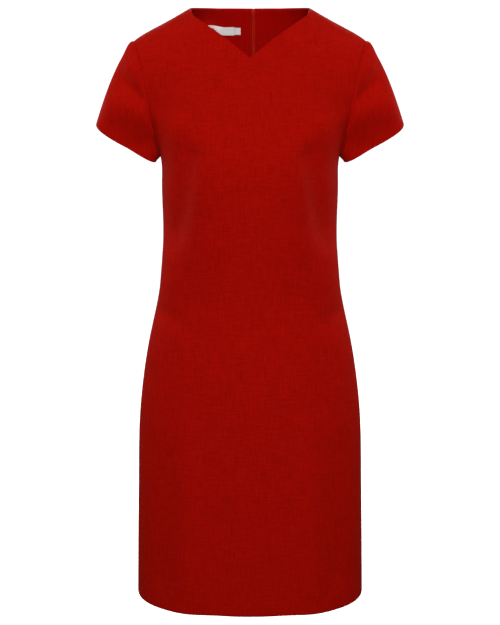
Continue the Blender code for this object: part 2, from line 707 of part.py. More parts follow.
def bail_outline(eye_out):
    """Return the bail's outline, down and out, and the eye in it."""
    rim = BAIL_EYE_RADIUS + BAIL_WALL
    outline = [(rim, 0.0)]
    for step in range(ROUND_STEPS // 2 + 1):
        angle = math.pi * step / (ROUND_STEPS // 2)
        outline.append((rim * math.cos(angle), eye_out + rim * math.sin(angle)))
    outline.append((-rim, 0.0))
    eye = [(BAIL_EYE_RADIUS * math.cos(2 * math.pi * step / ROUND_STEPS),
            eye_out + BAIL_EYE_RADIUS * math.sin(2 * math.pi * step / ROUND_STEPS))
           for step in range(ROUND_STEPS)]
    return outline, eye


def add_slider(origin, down, out, eye_out):
    """Add the slider: its body inside, its neck through the seam, the bridge and the bail outside."""
    inside = -(CLOTH + SEAM_GAP)
    body_outline = [(-SLIDER_HALF_WIDTH, 0.0), (SLIDER_HALF_WIDTH, 0.0),
                    (SLIDER_HALF_WIDTH, SLIDER_SHOULDER), (SLIDER_NOSE_HALF_WIDTH, SLIDER_HEIGHT),
                    (-SLIDER_NOSE_HALF_WIDTH, SLIDER_HEIGHT), (-SLIDER_HALF_WIDTH, SLIDER_SHOULDER)]
    body = add_object("zip_slider", *prism(origin, down, out, body_outline, inside - SLIDER_DEPTH, inside),
                      RED_ENAMEL, smooth=False)
    middle = BRIDGE_HEIGHT / 2
    neck_outline = [(-SLIDER_NECK_HALF_WIDTH, middle - SLIDER_NECK_HEIGHT / 2),
                    (SLIDER_NECK_HALF_WIDTH, middle - SLIDER_NECK_HEIGHT / 2),
                    (SLIDER_NECK_HALF_WIDTH, middle + SLIDER_NECK_HEIGHT / 2),
                    (-SLIDER_NECK_HALF_WIDTH, middle + SLIDER_NECK_HEIGHT / 2)]
    bridge_high = BRIDGE_STAND_OFF + BRIDGE_THICKNESS
    neck = add_object("neck", *prism(origin, down, out, neck_outline, inside - SLIDER_DEPTH / 2,
                                     BRIDGE_STAND_OFF + BRIDGE_THICKNESS / 2), RED_ENAMEL)
    bridge_outline = rounded_outline(BRIDGE_HALF_WIDTH, BRIDGE_HALF_WIDTH, 0.0, BRIDGE_HEIGHT)
    bridge = add_object("bridge", *prism(origin, down, out, bridge_outline, BRIDGE_STAND_OFF, bridge_high),
                        RED_ENAMEL)
    outline, eye = bail_outline(eye_out - BRIDGE_STAND_OFF - BRIDGE_THICKNESS / 2)
    bail_origin = origin + down * middle + out * (BRIDGE_STAND_OFF + BRIDGE_THICKNESS / 2)
    bail = add_object("bail", *side_prism(bail_origin, down, out, outline, BAIL_HALF_WIDTH), RED_ENAMEL)
    unite(body, [neck, bridge, bail])
    cutter = add_object("eye", *side_prism(bail_origin, down, out, eye, 2 * BAIL_HALF_WIDTH), RED_ENAMEL)
    cut = body.modifiers.new("eye", "BOOLEAN")
    cut.operation = "DIFFERENCE"
    cut.object = cutter
    with bpy.context.temp_override(object=body, active_object=body):
        bpy.ops.object.modifier_apply(modifier=cut.name)
    bpy.data.objects.remove(cutter)


def add_pull(hinge, down, out, eye_out):
    """Add the pull, hung on the bail by its bar, with its tip resting on the back."""
    pivot = bpy.data.objects.new("pull_hinge", None)
    pivot.location = Vector(hinge)
    bpy.context.scene.collection.objects.link(pivot)
    half = PULL_THICKNESS / 2
    lean = math.asin((eye_out - half - SEAM_GAP) / PULL_LENGTH)
    tab_down = down * math.cos(lean) - out * math.sin(lean)
    tab_out = out * math.cos(lean) + down * math.sin(lean)
    origin = np.zeros(3)
    slot = BAIL_HALF_WIDTH + SEAM_GAP
    slot_end = BAIL_EYE_RADIUS + BAIL_WALL + SEAM_GAP
    arm_top = -PULL_BAR_RADIUS / 2
    outline = [(-slot, arm_top), (-slot, slot_end), (slot, slot_end), (slot, arm_top),
               (PULL_ARM_HALF_SPREAD, arm_top), (PULL_HALF_WIDTH, slot_end + PULL_HALF_WIDTH)]
    for step in range(ROUND_STEPS // 2 + 1):
        angle = math.pi * step / (ROUND_STEPS // 2)
        tip = PULL_LENGTH - PULL_TIP_HALF_WIDTH
        outline.append((PULL_TIP_HALF_WIDTH * math.cos(angle), tip + PULL_TIP_HALF_WIDTH * math.sin(angle)))
    outline += [(-PULL_HALF_WIDTH, slot_end + PULL_HALF_WIDTH), (-PULL_ARM_HALF_SPREAD, arm_top)]
    pull = add_object("zip_pull", *prism(origin, tab_down, tab_out, outline, -half, half), RED_ENAMEL, pivot)
    turns = [2 * math.pi * step / ROUND_STEPS for step in range(ROUND_STEPS)]
    bar_outline = [(PULL_BAR_RADIUS * math.cos(turn), PULL_BAR_RADIUS * math.sin(turn)) for turn in turns]
    bar = add_object("bar", *side_prism(origin, tab_down, tab_out, bar_outline, PULL_BAR_HALF_LENGTH),
                     RED_ENAMEL, pivot)
    unite(pull, [bar])


# Label

def label_lift(x):
    """Return how far up the loose end of the label has slid at x."""
    return LABEL_END_LIFT * float(fade(LABEL_LIFTED_FROM_X - x, 0.0, LABEL_LIFTED_FROM_X - LABEL_LEFT_X))


def label_solid(facing, left_x, right_x, top, height, steps):
    """Return a strip of ribbon that lies on the inner side of the facing."""
    tree = BVHTree.FromPolygons([vertex.co for vertex in facing.data.vertices],
                                [tuple(polygon.vertices) for polygon in facing.data.polygons])
    rows = []
    for down in (height, height / 2, 0.0):
        row = []
        for step in range(steps + 1):
            x = left_x + (right_x - left_x) * step / steps
            start = Vector((x, 0.0, top - down + label_lift(x)))
            place, normal, _, _ = tree.ray_cast(start, Vector((0.0, 1.0, 0.0)))
            row.append(np.array(place) + np.array(normal) * SEAM_GAP)
        rows.append(row)
    under = np.array(rows)
    toward_front = np.array((0.0, -1.0, 0.0))
    return wall_solid(under, under + toward_front * LABEL_THICKNESS)


def add_label(facing):
    """Add the bare woven label and the size tab beside it."""
    points, faces = label_solid(facing, LABEL_LEFT_X, LABEL_RIGHT_X, LABEL_TOP, LABEL_HEIGHT, LABEL_STEPS)
    add_object("neck_label", points, faces, WHITE_RIBBON)
    drop = (LABEL_HEIGHT - TAB_HEIGHT) / 2
    tab_left = LABEL_RIGHT_X + SEAM_GAP
    points, faces = label_solid(facing, tab_left, TAB_RIGHT_X, LABEL_TOP - drop, TAB_HEIGHT, TAB_STEPS)
    add_object("size_tab", points, faces, WHITE_RIBBON)


def clear_scene():
    """Remove every object of the scene."""
    for item in list(bpy.data.objects):
        bpy.data.objects.remove(item)


def main():
    """Build the dress, outer pieces first."""
    clear_scene()
    front = add_panel("front", FRONT, front_grid())
    back_right = add_panel("back_right", BACK, back_grid(1.0))
    back_left = add_panel("back_left", BACK, back_grid(-1.0))
    add_sleeve("sleeve_right", 1.0, front, back_right)
    add_sleeve("sleeve_left", -1.0, front, back_left)
    add_tape("zip_tape_right", back_right)
    add_tape("zip_tape_left", back_left)
    add_facing("back_facing_right", back_right)
    facing_left = add_facing("back_facing_left", back_left)
    line, outward = zip_frame(back_left, back_right)
    add_coil(line, outward)
    down = unit(line[-2] - line[-1])
    out = unit(outward[-1] - down * outward[-1].dot(down))
    top = line[-1] + down * ZIP_TOP_BELOW_NECK
    eye_out = BRIDGE_STAND_OFF + BRIDGE_THICKNESS + BAIL_EYE_RADIUS + SEAM_GAP
    add_slider(top, down, out, eye_out)
    add_pull(top + down * (BRIDGE_HEIGHT / 2) + out * eye_out, down, out, eye_out)
    add_label(facing_left)


main()
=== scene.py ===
"""Looks of a fitted knee-length dress with a V neck, short set-in sleeves and a concealed back zip.

Every piece of cloth is a thin shell on the form of its solid, with its edges turned under as a maker
turns them, and its creases placed one by one. Metres, +Z up, the front faces -Y.
"""
from collections.abc import Callable, Sequence
from dataclasses import dataclass, field
from enum import Enum
import logging
import math

import bpy
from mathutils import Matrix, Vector
from mathutils.bvhtree import BVHTree
import numpy as np


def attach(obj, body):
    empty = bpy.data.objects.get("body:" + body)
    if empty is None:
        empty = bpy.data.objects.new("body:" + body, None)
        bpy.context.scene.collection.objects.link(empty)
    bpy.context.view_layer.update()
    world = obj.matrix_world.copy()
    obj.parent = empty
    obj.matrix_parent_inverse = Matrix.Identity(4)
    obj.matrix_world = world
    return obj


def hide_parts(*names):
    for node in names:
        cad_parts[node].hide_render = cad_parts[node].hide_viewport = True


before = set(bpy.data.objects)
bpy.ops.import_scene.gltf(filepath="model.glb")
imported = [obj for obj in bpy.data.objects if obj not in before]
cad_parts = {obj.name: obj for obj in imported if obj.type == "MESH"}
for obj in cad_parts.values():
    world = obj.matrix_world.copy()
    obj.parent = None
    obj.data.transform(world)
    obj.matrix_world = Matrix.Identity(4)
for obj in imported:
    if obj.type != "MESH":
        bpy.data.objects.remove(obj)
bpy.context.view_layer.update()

log = logging.getLogger("fitted_dress")
MM = 0.001
QUARTER_TURN = math.pi / 2


class Face(Enum):
    """The front or the back of the dress, as the sign of Y."""

    FRONT = -1.0
    BACK = 1.0


class Side(Enum):
    """Photo-left or photo-right, as the sign of X."""

    LEFT = -1.0
    RIGHT = 1.0


class Layer(Enum):
    """The two faces of a cloth, as a share of its thickness."""

    RIGHT_SIDE = 0.0
    WRONG_SIDE = 1.0


# Curves and vectors

class SmoothCurve:
    """A natural cubic curve through a table's values."""

    def __init__(self, knots: Sequence[float], values: Sequence[float]) -> None:
        """Work out the curve.

        Args:
            knots: where the values stand.
            values: the values.
        """
        order = np.argsort(knots)
        self.at = np.asarray(knots, float)[order]
        self.value = np.asarray(values, float)[order]
        self.span = np.diff(self.at)
        count = len(self.at)
        matrix = np.eye(count)
        right = np.zeros(count)
        for index in range(1, count - 1):
            before, after = self.span[index - 1], self.span[index]
            matrix[index, index - 1:index + 2] = (before, 2 * (before + after), after)
            rise_after = (self.value[index + 1] - self.value[index]) / after
            rise_before = (self.value[index] - self.value[index - 1]) / before
            right[index] = 6 * (rise_after - rise_before)
        self.bend = np.linalg.solve(matrix, right)

    def __call__(self, where: np.ndarray | float) -> np.ndarray:
        """Return the curve's values.

        Args:
            where: where they are wanted; past an end it is the end's value.

        Returns:
            The values, one for each place.
        """
        where = np.clip(np.asarray(where, float), self.at[0], self.at[-1])
        cell = np.clip(np.searchsorted(self.at, where) - 1, 0, len(self.at) - 2)
        width = self.span[cell]
        after = (where - self.at[cell]) / width
        before = 1 - after
        line = before * self.value[cell] + after * self.value[cell + 1]
        cubic = (before ** 3 - before) * self.bend[cell] + (after ** 3 - after) * self.bend[cell + 1]
        return line + cubic * width ** 2 / 6


def table_curve(rows: Sequence, column: str, knot: str = "height") -> SmoothCurve:
    """Return the smooth curve of one column of a table."""
    return SmoothCurve([getattr(row, knot) for row in rows], [getattr(row, column) for row in rows])


def unit(vectors: np.ndarray) -> np.ndarray:
    """Return the vectors at length one."""
    return vectors / np.linalg.norm(vectors, axis=-1, keepdims=True)


def fade(value: np.ndarray | float, low: float, high: float) -> np.ndarray:
    """Rise smoothly from 0 at low to 1 at high."""
    share = np.clip((value - low) / (high - low), 0.0, 1.0)
    return share * share * (3 - 2 * share)


def lengths_along(points: np.ndarray) -> np.ndarray:
    """Return how far along a line of points each one lies."""
    steps = np.linalg.norm(np.diff(points, axis=0), axis=1)
    return np.concatenate(((0.0,), np.cumsum(steps)))


def read_along(values: np.ndarray, places: np.ndarray, length: np.ndarray) -> np.ndarray:
    """Return a line's numbers read at places along it.

    Args:
        values: the numbers at the line's points, a row for each.
        places: how far along the line they are wanted.
        length: how far along it its points lie.

    Returns:
        The numbers, a row for each place.
    """
    return np.stack([np.interp(places, length, column) for column in values.T], axis=1)


def rounded_reach(first: np.ndarray, second: np.ndarray, power: np.ndarray | float) -> np.ndarray:
    """Return how far a rounded box of half size one reaches along directions."""
    return (np.abs(first) ** power + np.abs(second) ** power) ** (-1 / power)


def link_object(name: str, data: bpy.types.ID) -> bpy.types.Object:
    """Add an object to the scene."""
    added = bpy.data.objects.new(name, data)
    bpy.context.scene.collection.objects.link(added)
    return added


# Folds

@dataclass(frozen=True)
class Fold:
    """A soft ridge, or a trough where the rise is negative, as seen from the front."""

    start_x: float
    start_height: float
    end_x: float
    end_height: float
    reach: float
    rise: float
    mirrored: bool = False

    def rise_at(self, x: np.ndarray, height: np.ndarray) -> np.ndarray:
        """Return how far the fold lifts the cloth.

        Args:
            x: places across.
            height: their heights.

        Returns:
            The rise at each place.
        """
        total = np.zeros_like(x)
        for side in ((1.0, -1.0) if self.mirrored else (1.0,)):
            start = np.array((side * self.start_x, self.start_height))
            course = np.array((side * self.end_x, self.end_height)) - start
            along = ((x - start[0]) * course[0] + (height - start[1]) * course[1]) / course.dot(course)
            along = np.clip(along, 0.0, 1.0)
            aside = np.hypot(x - start[0] - along * course[0], height - start[1] - along * course[1])
            total = total + self.rise * np.exp(-(aside / self.reach) ** 2)
        return total


def fold_rise(folds: Sequence[Fold], x: np.ndarray, height: np.ndarray) -> np.ndarray:
    """Return how far several folds lift the cloth together."""
    return sum((fold.rise_at(x, height) for fold in folds), np.zeros_like(x))


# The form of the dress, as in its solids

@dataclass(frozen=True)
class Section:
    """A level section of the whole dress."""

    height: float
    half_width: float
    front_depth: float
    back_depth: float
    front_squareness: float
    back_squareness: float


SECTIONS = (
    Section(0.0260, 0.0950, 0.0560, 0.0560, 2.00, 2.00),
    Section(0.0010, 0.1397, 0.0680, 0.0700, 2.00, 2.00),
    Section(-0.0250, 0.1845, 0.0790, 0.0820, 2.00, 2.00),
    Section(-0.0500, 0.1990, 0.0880, 0.0915, 1.98, 2.00),
    Section(-0.0850, 0.2000, 0.0990, 0.1010, 1.94, 1.98),
    Section(-0.1300, 0.1830, 0.1110, 0.1070, 1.95, 1.98),
    Section(-0.1800, 0.1560, 0.1210, 0.1080, 2.16, 2.05),
    Section(-0.2100, 0.1450, 0.1240, 0.1060, 2.30, 2.12),
    Section(-0.2500, 0.1436, 0.1215, 0.1010, 2.32, 2.16),
    Section(-0.3200, 0.1428, 0.1075, 0.0910, 2.24, 2.16),
    Section(-0.3800, 0.1448, 0.1000, 0.0885, 2.20, 2.14),
    Section(-0.4400, 0.1517, 0.1010, 0.0965, 2.18, 2.14),
    Section(-0.5100, 0.1668, 0.1080, 0.1130, 2.18, 2.16),
    Section(-0.5800, 0.1790, 0.1145, 0.1225, 2.22, 2.20),
    Section(-0.6500, 0.1866, 0.1190, 0.1240, 2.28, 2.26),
    Section(-0.7500, 0.1902, 0.1222, 0.1215, 2.36, 2.34),
    Section(-0.8600, 0.1930, 0.1242, 0.1195, 2.42, 2.40),
    Section(-0.9680, 0.1953, 0.1255, 0.1185, 2.46, 2.44),
)


@dataclass(frozen=True)
class ArmholeRow:
    """How far from the centre the armhole's cut edge lies at a height."""

    height: float
    front_x: float
    back_x: float


ARMHOLE = (
    ArmholeRow(-0.0250, 0.1845, 0.1845),
    ArmholeRow(-0.0500, 0.1745, 0.1780),
    ArmholeRow(-0.0800, 0.1680, 0.1725),
    ArmholeRow(-0.1100, 0.1632, 0.1670),
    ArmholeRow(-0.1400, 0.1586, 0.1610),
    ArmholeRow(-0.1700, 0.1522, 0.1535),
    ArmholeRow(-0.1950, 0.1465, 0.1468),
    ArmholeRow(-0.2100, 0.1450, 0.1450),
)


@dataclass(frozen=True)
class NeckRow:
    """The height of a neckline at a place across."""

    x: float
    height: float


NECK = {
    Face.FRONT: (NeckRow(0.0950, 0.0260), NeckRow(0.0885, 0.0165), NeckRow(0.0760, 0.0090),
                 NeckRow(0.0400, -0.0150), NeckRow(0.0000, -0.0450)),
    Face.BACK: (NeckRow(0.0950, 0.0260), NeckRow(0.0800, 0.0246), NeckRow(0.0500, 0.0228),
                NeckRow(0.0000, 0.0220)),
}

# The fullness and the folds of the solids
FORM_FOLDS = {
    Face.FRONT: (
        Fold(0.0820, -0.2000, 0.0780, -0.2350, 0.0480, 0.0060, True),
        Fold(0.0960, -0.1950, 0.1160, -0.3200, 0.0200, -0.0050, True),
        Fold(0.1160, -0.1500, 0.1260, -0.1620, 0.0220, 0.0030, True),
        Fold(0.1300, -0.0900, 0.1380, -0.1500, 0.0200, -0.0030, True),
        Fold(0.1300, -0.3700, 0.1380, -0.4400, 0.0200, 0.0030, True),
        Fold(0.1400, -0.4620, 0.1240, -0.4700, 0.0140, -0.0025, True),
        Fold(0.1460, -0.4950, 0.1600, -0.5350, 0.0200, 0.0025, True),
        Fold(0.1080, -0.7200, 0.1120, -0.9680, 0.0280, 0.0028, True),
        Fold(0.0520, -0.8000, 0.0580, -0.9680, 0.0260, -0.0020, True),
    ),
    Face.BACK: (
        Fold(0.1150, -0.1250, 0.1250, -0.1800, 0.0220, 0.0030, True),
        Fold(0.0500, -0.2650, 0.0700, -0.3300, 0.0240, -0.0035, True),
        Fold(0.0350, -0.3450, 0.1100, -0.3300, 0.0160, -0.0035),
        Fold(0.0300, -0.3800, 0.1000, -0.3980, 0.0160, -0.0028),
        Fold(-0.0350, -0.3620, -0.1100, -0.3480, 0.0170, -0.0035),
        Fold(-0.0500, -0.4050, -0.1050, -0.4200, 0.0150, -0.0024),
        Fold(0.0980, -0.6700, 0.1060, -0.9680, 0.0280, 0.0028, True),
        Fold(-0.0420, -0.7400, -0.0500, -0.9680, 0.0260, -0.0026),
        Fold(0.0560, -0.7900, 0.0480, -0.9680, 0.0240, -0.0020),
    ),
}
SLEEVE_FOLDS = {
    Face.FRONT: (
        Fold(0.1780, -0.0900, 0.2080, -0.0720, 0.0120, -0.0040),
        Fold(0.1680, -0.1230, 0.2150, -0.1180, 0.0120, 0.0035),
        Fold(0.1780, -0.1560, 0.1980, -0.1620, 0.0160, -0.0050),
        Fold(0.2280, -0.1300, 0.2380, -0.1560, 0.0120, 0.0020),
    ),
    Face.BACK: (
        Fold(0.1800, -0.0850, 0.2100, -0.0780, 0.0130, -0.0030),
        Fold(0.1750, -0.1180, 0.2150, -0.1260, 0.0130, 0.0030),
        Fold(0.1800, -0.1500, 0.2050, -0.1640, 0.0150, -0.0040),
    ),
}

# Finer creases of the cloth, which the solids leave out
FINE_CREASES = {
    Face.FRONT: (
        Fold(-0.0500, -0.2480, 0.0500, -0.2480, 0.0340, -0.0020),
        Fold(-0.0650, -0.3520, 0.0650, -0.3520, 0.0680, 0.0085),
        Fold(0.0950, -0.2000, 0.1250, -0.3440, 0.0200, -0.0056, True),
        Fold(0.1180, -0.1480, 0.1280, -0.1450, 0.0150, 0.0030, True),
        Fold(0.1180, -0.4100, 0.1280, -0.4080, 0.0240, 0.0022, True),
        Fold(0.1480, -0.0950, 0.1520, -0.1200, 0.0120, -0.0028, True),
        Fold(-0.0360, -0.1560, 0.0120, -0.1550, 0.0060, -0.0007),
        Fold(0.1010, -0.6500, 0.1060, -0.9200, 0.0200, 0.0022, True),
        Fold(0.1440, -0.7000, 0.1490, -0.9050, 0.0280, -0.0032, True),
    ),
    Face.BACK: (
        Fold(0.1250, -0.1500, 0.1150, -0.2300, 0.0130, -0.0026, True),
        Fold(0.0250, -0.4150, 0.0900, -0.4260, 0.0100, -0.0012),
        Fold(-0.0250, -0.4400, -0.0850, -0.4480, 0.0100, -0.0010),
        Fold(0.0950, -0.3150, 0.1200, -0.3060, 0.0100, -0.0014),
        Fold(-0.0900, -0.3080, -0.1250, -0.2960, 0.0110, -0.0014),
    ),
}
SLEEVE_CREASES = {
    Face.FRONT: (
        Fold(0.1800, -0.0620, 0.1920, -0.0640, 0.0090, 0.0024),
        Fold(0.1780, -0.0900, 0.2080, -0.0720, 0.0120, 0.0026),
        Fold(0.1690, -0.1150, 0.2020, -0.0890, 0.0105, -0.0056),
        Fold(0.1700, -0.1400, 0.2150, -0.1340, 0.0190, 0.0066),
        Fold(0.1780, -0.1560, 0.1980, -0.1620, 0.0160, 0.0050),
        Fold(0.1560, -0.1900, 0.1900, -0.1940, 0.0220, -0.0072),
    ),
    Face.BACK: (
        Fold(0.1780, -0.0950, 0.2050, -0.1050, 0.0080, -0.0014),
        Fold(0.1760, -0.1350, 0.2050, -0.1380, 0.0090, -0.0018),
    ),
}


@dataclass
class DressForm:
    """The outer form of the body: a place on it is a face, a turn and a height.

    The turn is 0 at the middle of the front or the back and a quarter turn at the seams.
    """

    seam_gap: float = 0.01 * MM
    side_fade: tuple[float, float] = (0.02, 0.40)
    turn_step: float = 0.004
    height_step: float = 0.8 * MM
    short_of_quarter: float = 1.0 - 1e-9

    def __post_init__(self) -> None:
        """Work out the curves of the tables."""
        names = {Face.FRONT: "front", Face.BACK: "back"}
        self.half_width = table_curve(SECTIONS, "half_width")
        self.depth = {face: table_curve(SECTIONS, f"{name}_depth") for face, name in names.items()}
        self.power = {face: table_curve(SECTIONS, f"{name}_squareness") for face, name in names.items()}
        self.armhole_x = {face: table_curve(ARMHOLE, f"{name}_x") for face, name in names.items()}

    def point(self, face: Face, turn: np.ndarray, height: np.ndarray) -> np.ndarray:
        """Return outer places of the cloth.

        Args:
            face: the front or the back.
            turn: turns from the middle.
            height: heights.

        Returns:
            The places.
        """
        turn, height = np.broadcast_arrays(np.asarray(turn, float), np.asarray(height, float))
        width, depth, power = self.half_width(height), self.depth[face](height), self.power[face](height)
        across, ahead = np.sin(turn), np.cos(turn)
        scale = rounded_reach(across, ahead, power)
        x = width * scale * across
        y = face.value * depth * scale * ahead
        rise = fold_rise(FORM_FOLDS[face] + FINE_CREASES[face], x, height)
        rise = rise * fade(np.abs(ahead), *self.side_fade)
        outward = unit(np.stack((across / width, face.value * ahead / depth), axis=-1))
        return np.stack((x + rise * outward[..., 0], y + rise * outward[..., 1], height), axis=-1)

    def inward(self, face: Face, turn: np.ndarray, height: np.ndarray) -> np.ndarray:
        """Return the directions straight into the cloth.

        Args:
            face: the front or the back.
            turn: turns from the middle.
            height: heights.

        Returns:
            The directions.
        """
        turn, height = np.broadcast_arrays(np.asarray(turn, float), np.asarray(height, float))
        after = self.point(face, turn + self.turn_step, height)
        before = self.point(face, turn - self.turn_step, height)
        above = self.point(face, turn, np.minimum(height + self.height_step, SECTIONS[0].height))
        below = self.point(face, turn, height - self.height_step)
        return unit(np.cross(after - before, above - below) * face.value)

    def turn_at(self, face: Face, x: np.ndarray | float, height: np.ndarray | float) -> np.ndarray:
        """Return the turn at which a level section is x from the middle."""
        power = self.power[face](height)
        share = np.clip(np.abs(x) / self.half_width(height), 0.0, self.short_of_quarter) ** power
        return np.sign(x) * np.arctan((share / (1 - share)) ** (1 / power))

    def seam_turn(self, face: Face, height: np.ndarray | float) -> np.ndarray:
        """Return the turn just short of the side and shoulder seams."""
        return QUARTER_TURN - self.seam_gap / 2 / self.depth[face](height)


def blend_patch(low: np.ndarray, high: np.ndarray, left: np.ndarray, right: np.ndarray) -> np.ndarray:
    """Fill a four-sided patch between its edges.

    Args:
        low: the lower edge, left to right.
        high: the upper edge, left to right.
        left: the left edge, going up.
        right: the right edge, going up.

    Returns:
        The patch, row by row.
    """
    along = np.linspace(0.0, 1.0, len(low))[None, :, None]
    up = np.linspace(0.0, 1.0, len(left))[:, None, None]
    between_rows = (1 - up) * low[None] + up * high[None]
    between_columns = (1 - along) * left[:, None] + along * right[:, None]
    corner_low = (1 - along) * low[0] + along * low[-1]
    corner_high = (1 - along) * high[0] + along * high[-1]
    return between_rows + between_columns - (1 - up) * corner_low - up * corner_high


@dataclass
class PanelCut:
    """How the front and the two backs are cut, and the grid of points on each."""

    form: DressForm
    neck_half_width: float = 0.0950
    neck_point_height: float = 0.0260
    shoulder_point_height: float = -0.0250
    underarm_height: float = -0.2100
    level_below_underarm: float = 0.0350
    hem_height: float = -0.9680
    back_neck_height: float = 0.0220
    zip_x: float = 0.0055
    zip_seam_spread: float = 0.8 * MM
    zip_spread_reach: float = 3.0 * MM
    lower_rows: int = 130
    underarm_rows: int = 10
    armhole_rows: int = 55
    shoulder_columns: int = 25
    neck_columns: int = 45

    @property
    def half_columns(self) -> int:
        """Return the columns from the middle to the side."""
        return self.shoulder_columns + self.neck_columns

    @property
    def level(self) -> float:
        """Return the height below which the rows are level."""
        return self.underarm_height - self.level_below_underarm

    def side_edge(self, face: Face) -> np.ndarray:
        """Return the side seam above the level rows and then the armhole, as turns and heights."""
        seam_height = np.linspace(self.level, self.underarm_height, self.underarm_rows + 1)
        share = np.linspace(0.0, 1.0, self.armhole_rows + 1)[1:]
        rise = (1 - np.cos(math.pi * share)) / 2
        armhole_height = self.underarm_height + (self.shoulder_point_height - self.underarm_height) * rise
        height = np.concatenate((seam_height, armhole_height))
        x = self.form.armhole_x[face](height)
        turn = np.minimum(self.form.turn_at(face, x, height), self.form.seam_turn(face, height))
        turn[:self.underarm_rows + 1] = self.form.seam_turn(face, seam_height)
        turn[-1] = self.form.seam_turn(face, height[-1])
        return np.stack((turn, height), axis=-1)

    def top_edge(self, face: Face, inner_x: float) -> np.ndarray:
        """Return the shoulder seam and then the neckline.

        Args:
            face: the front or the back.
            inner_x: where the neckline ends near the middle.

        Returns:
            Turns and heights from the shoulder point.
        """
        seam_height = np.linspace(self.shoulder_point_height, self.neck_point_height,
                                  self.shoulder_columns + 1)
        seam = np.stack((self.form.seam_turn(face, seam_height), seam_height), axis=-1)
        x = np.linspace(self.neck_half_width, abs(inner_x), self.neck_columns + 1)
        rows = NECK[face][::-1]
        height = np.interp(x, [row.x for row in rows], [row.height for row in rows])
        turn = np.minimum(self.form.turn_at(face, x, height), self.form.seam_turn(face, height))
        turn[-1] = self.form.turn_at(face, inner_x, height[-1])
        return np.concatenate((seam, np.stack((turn, height), axis=-1)[1:]))

    def level_rows(self, left: Callable, right: Callable, columns: int) -> np.ndarray:
        """Return the rows from the hem to the level below the underarm.

        Args:
            left: the turn of the left edge at a height.
            right: the turn of the right edge at a height.
            columns: how many columns lie between them.

        Returns:
            Turns and heights, row by row.
        """
        height = np.linspace(self.hem_height, self.level, self.lower_rows + 1)
        start, end = left(height), right(height)
        share = np.linspace(0.0, 1.0, columns + 1)
        turn = start[:, None] + (end - start)[:, None] * share[None]
        return np.stack(np.broadcast_arrays(turn, height[:, None]), axis=-1)

    def front_grid(self) -> np.ndarray:
        """Return the front's turns and heights, row by row from the hem."""
        def right_seam(height: np.ndarray) -> np.ndarray:
            """Return the turn of the right side seam."""
            return self.form.seam_turn(Face.FRONT, height)

        lower = self.level_rows(lambda height: -right_seam(height), right_seam, 2 * self.half_columns)
        right = self.side_edge(Face.FRONT)
        half_top = self.top_edge(Face.FRONT, 0.0)
        other = np.array((-1.0, 1.0))
        top = np.concatenate((half_top * other, half_top[-2::-1]))
        upper = blend_patch(lower[-1], top, right * other, right)
        return np.concatenate((lower, upper[1:]))

    def back_grid(self, side: Side) -> np.ndarray:
        """Return a back's turns and heights, from the centre back to its side."""
        def zip_x(height: np.ndarray) -> np.ndarray:
            """Return how far across the zip's edge lies, a little further at its very top."""
            start = self.back_neck_height - self.zip_spread_reach
            spread = self.zip_seam_spread * fade(height, start, self.back_neck_height)
            return side.value * self.zip_x + self.form.seam_gap / 2 + spread

        def zip_turn(height: np.ndarray) -> np.ndarray:
            """Return the turn of the zip's edge."""
            return self.form.turn_at(Face.BACK, zip_x(height), height)

        def side_seam(height: np.ndarray) -> np.ndarray:
            """Return the turn of the side seam."""
            return self.form.seam_turn(Face.BACK, height)

        lower = self.level_rows(zip_turn, side_seam, self.half_columns)
        right = self.side_edge(Face.BACK)
        top = self.top_edge(Face.BACK, float(zip_x(np.array(self.back_neck_height))))[::-1]
        rows = self.underarm_rows + self.armhole_rows
        zip_height = np.linspace(lower[-1, 0, 1], top[0, 1], rows + 1)
        zip_edge = np.stack((zip_turn(zip_height), zip_height), axis=-1)
        zip_edge[-1] = top[0]
        upper = blend_patch(lower[-1], top, zip_edge, right)
        return np.concatenate((lower, upper[1:])) * np.array((side.value, 1.0))

    def field(self, face: Face, grid: np.ndarray, middle_column: int) -> "ClothField":
        """Return a panel's points, inward directions and cloth coordinates.

        Args:
            face: the front or the back.
            grid: its turns and heights.
            middle_column: the column from which widths are measured.

        Returns:
            The panel as a field of points.
        """
        turn, height = grid[..., 0], grid[..., 1]
        return ClothField.measured(self.form.point(face, turn, height),
                                   self.form.inward(face, turn, height), middle_column)


# Cloth shells

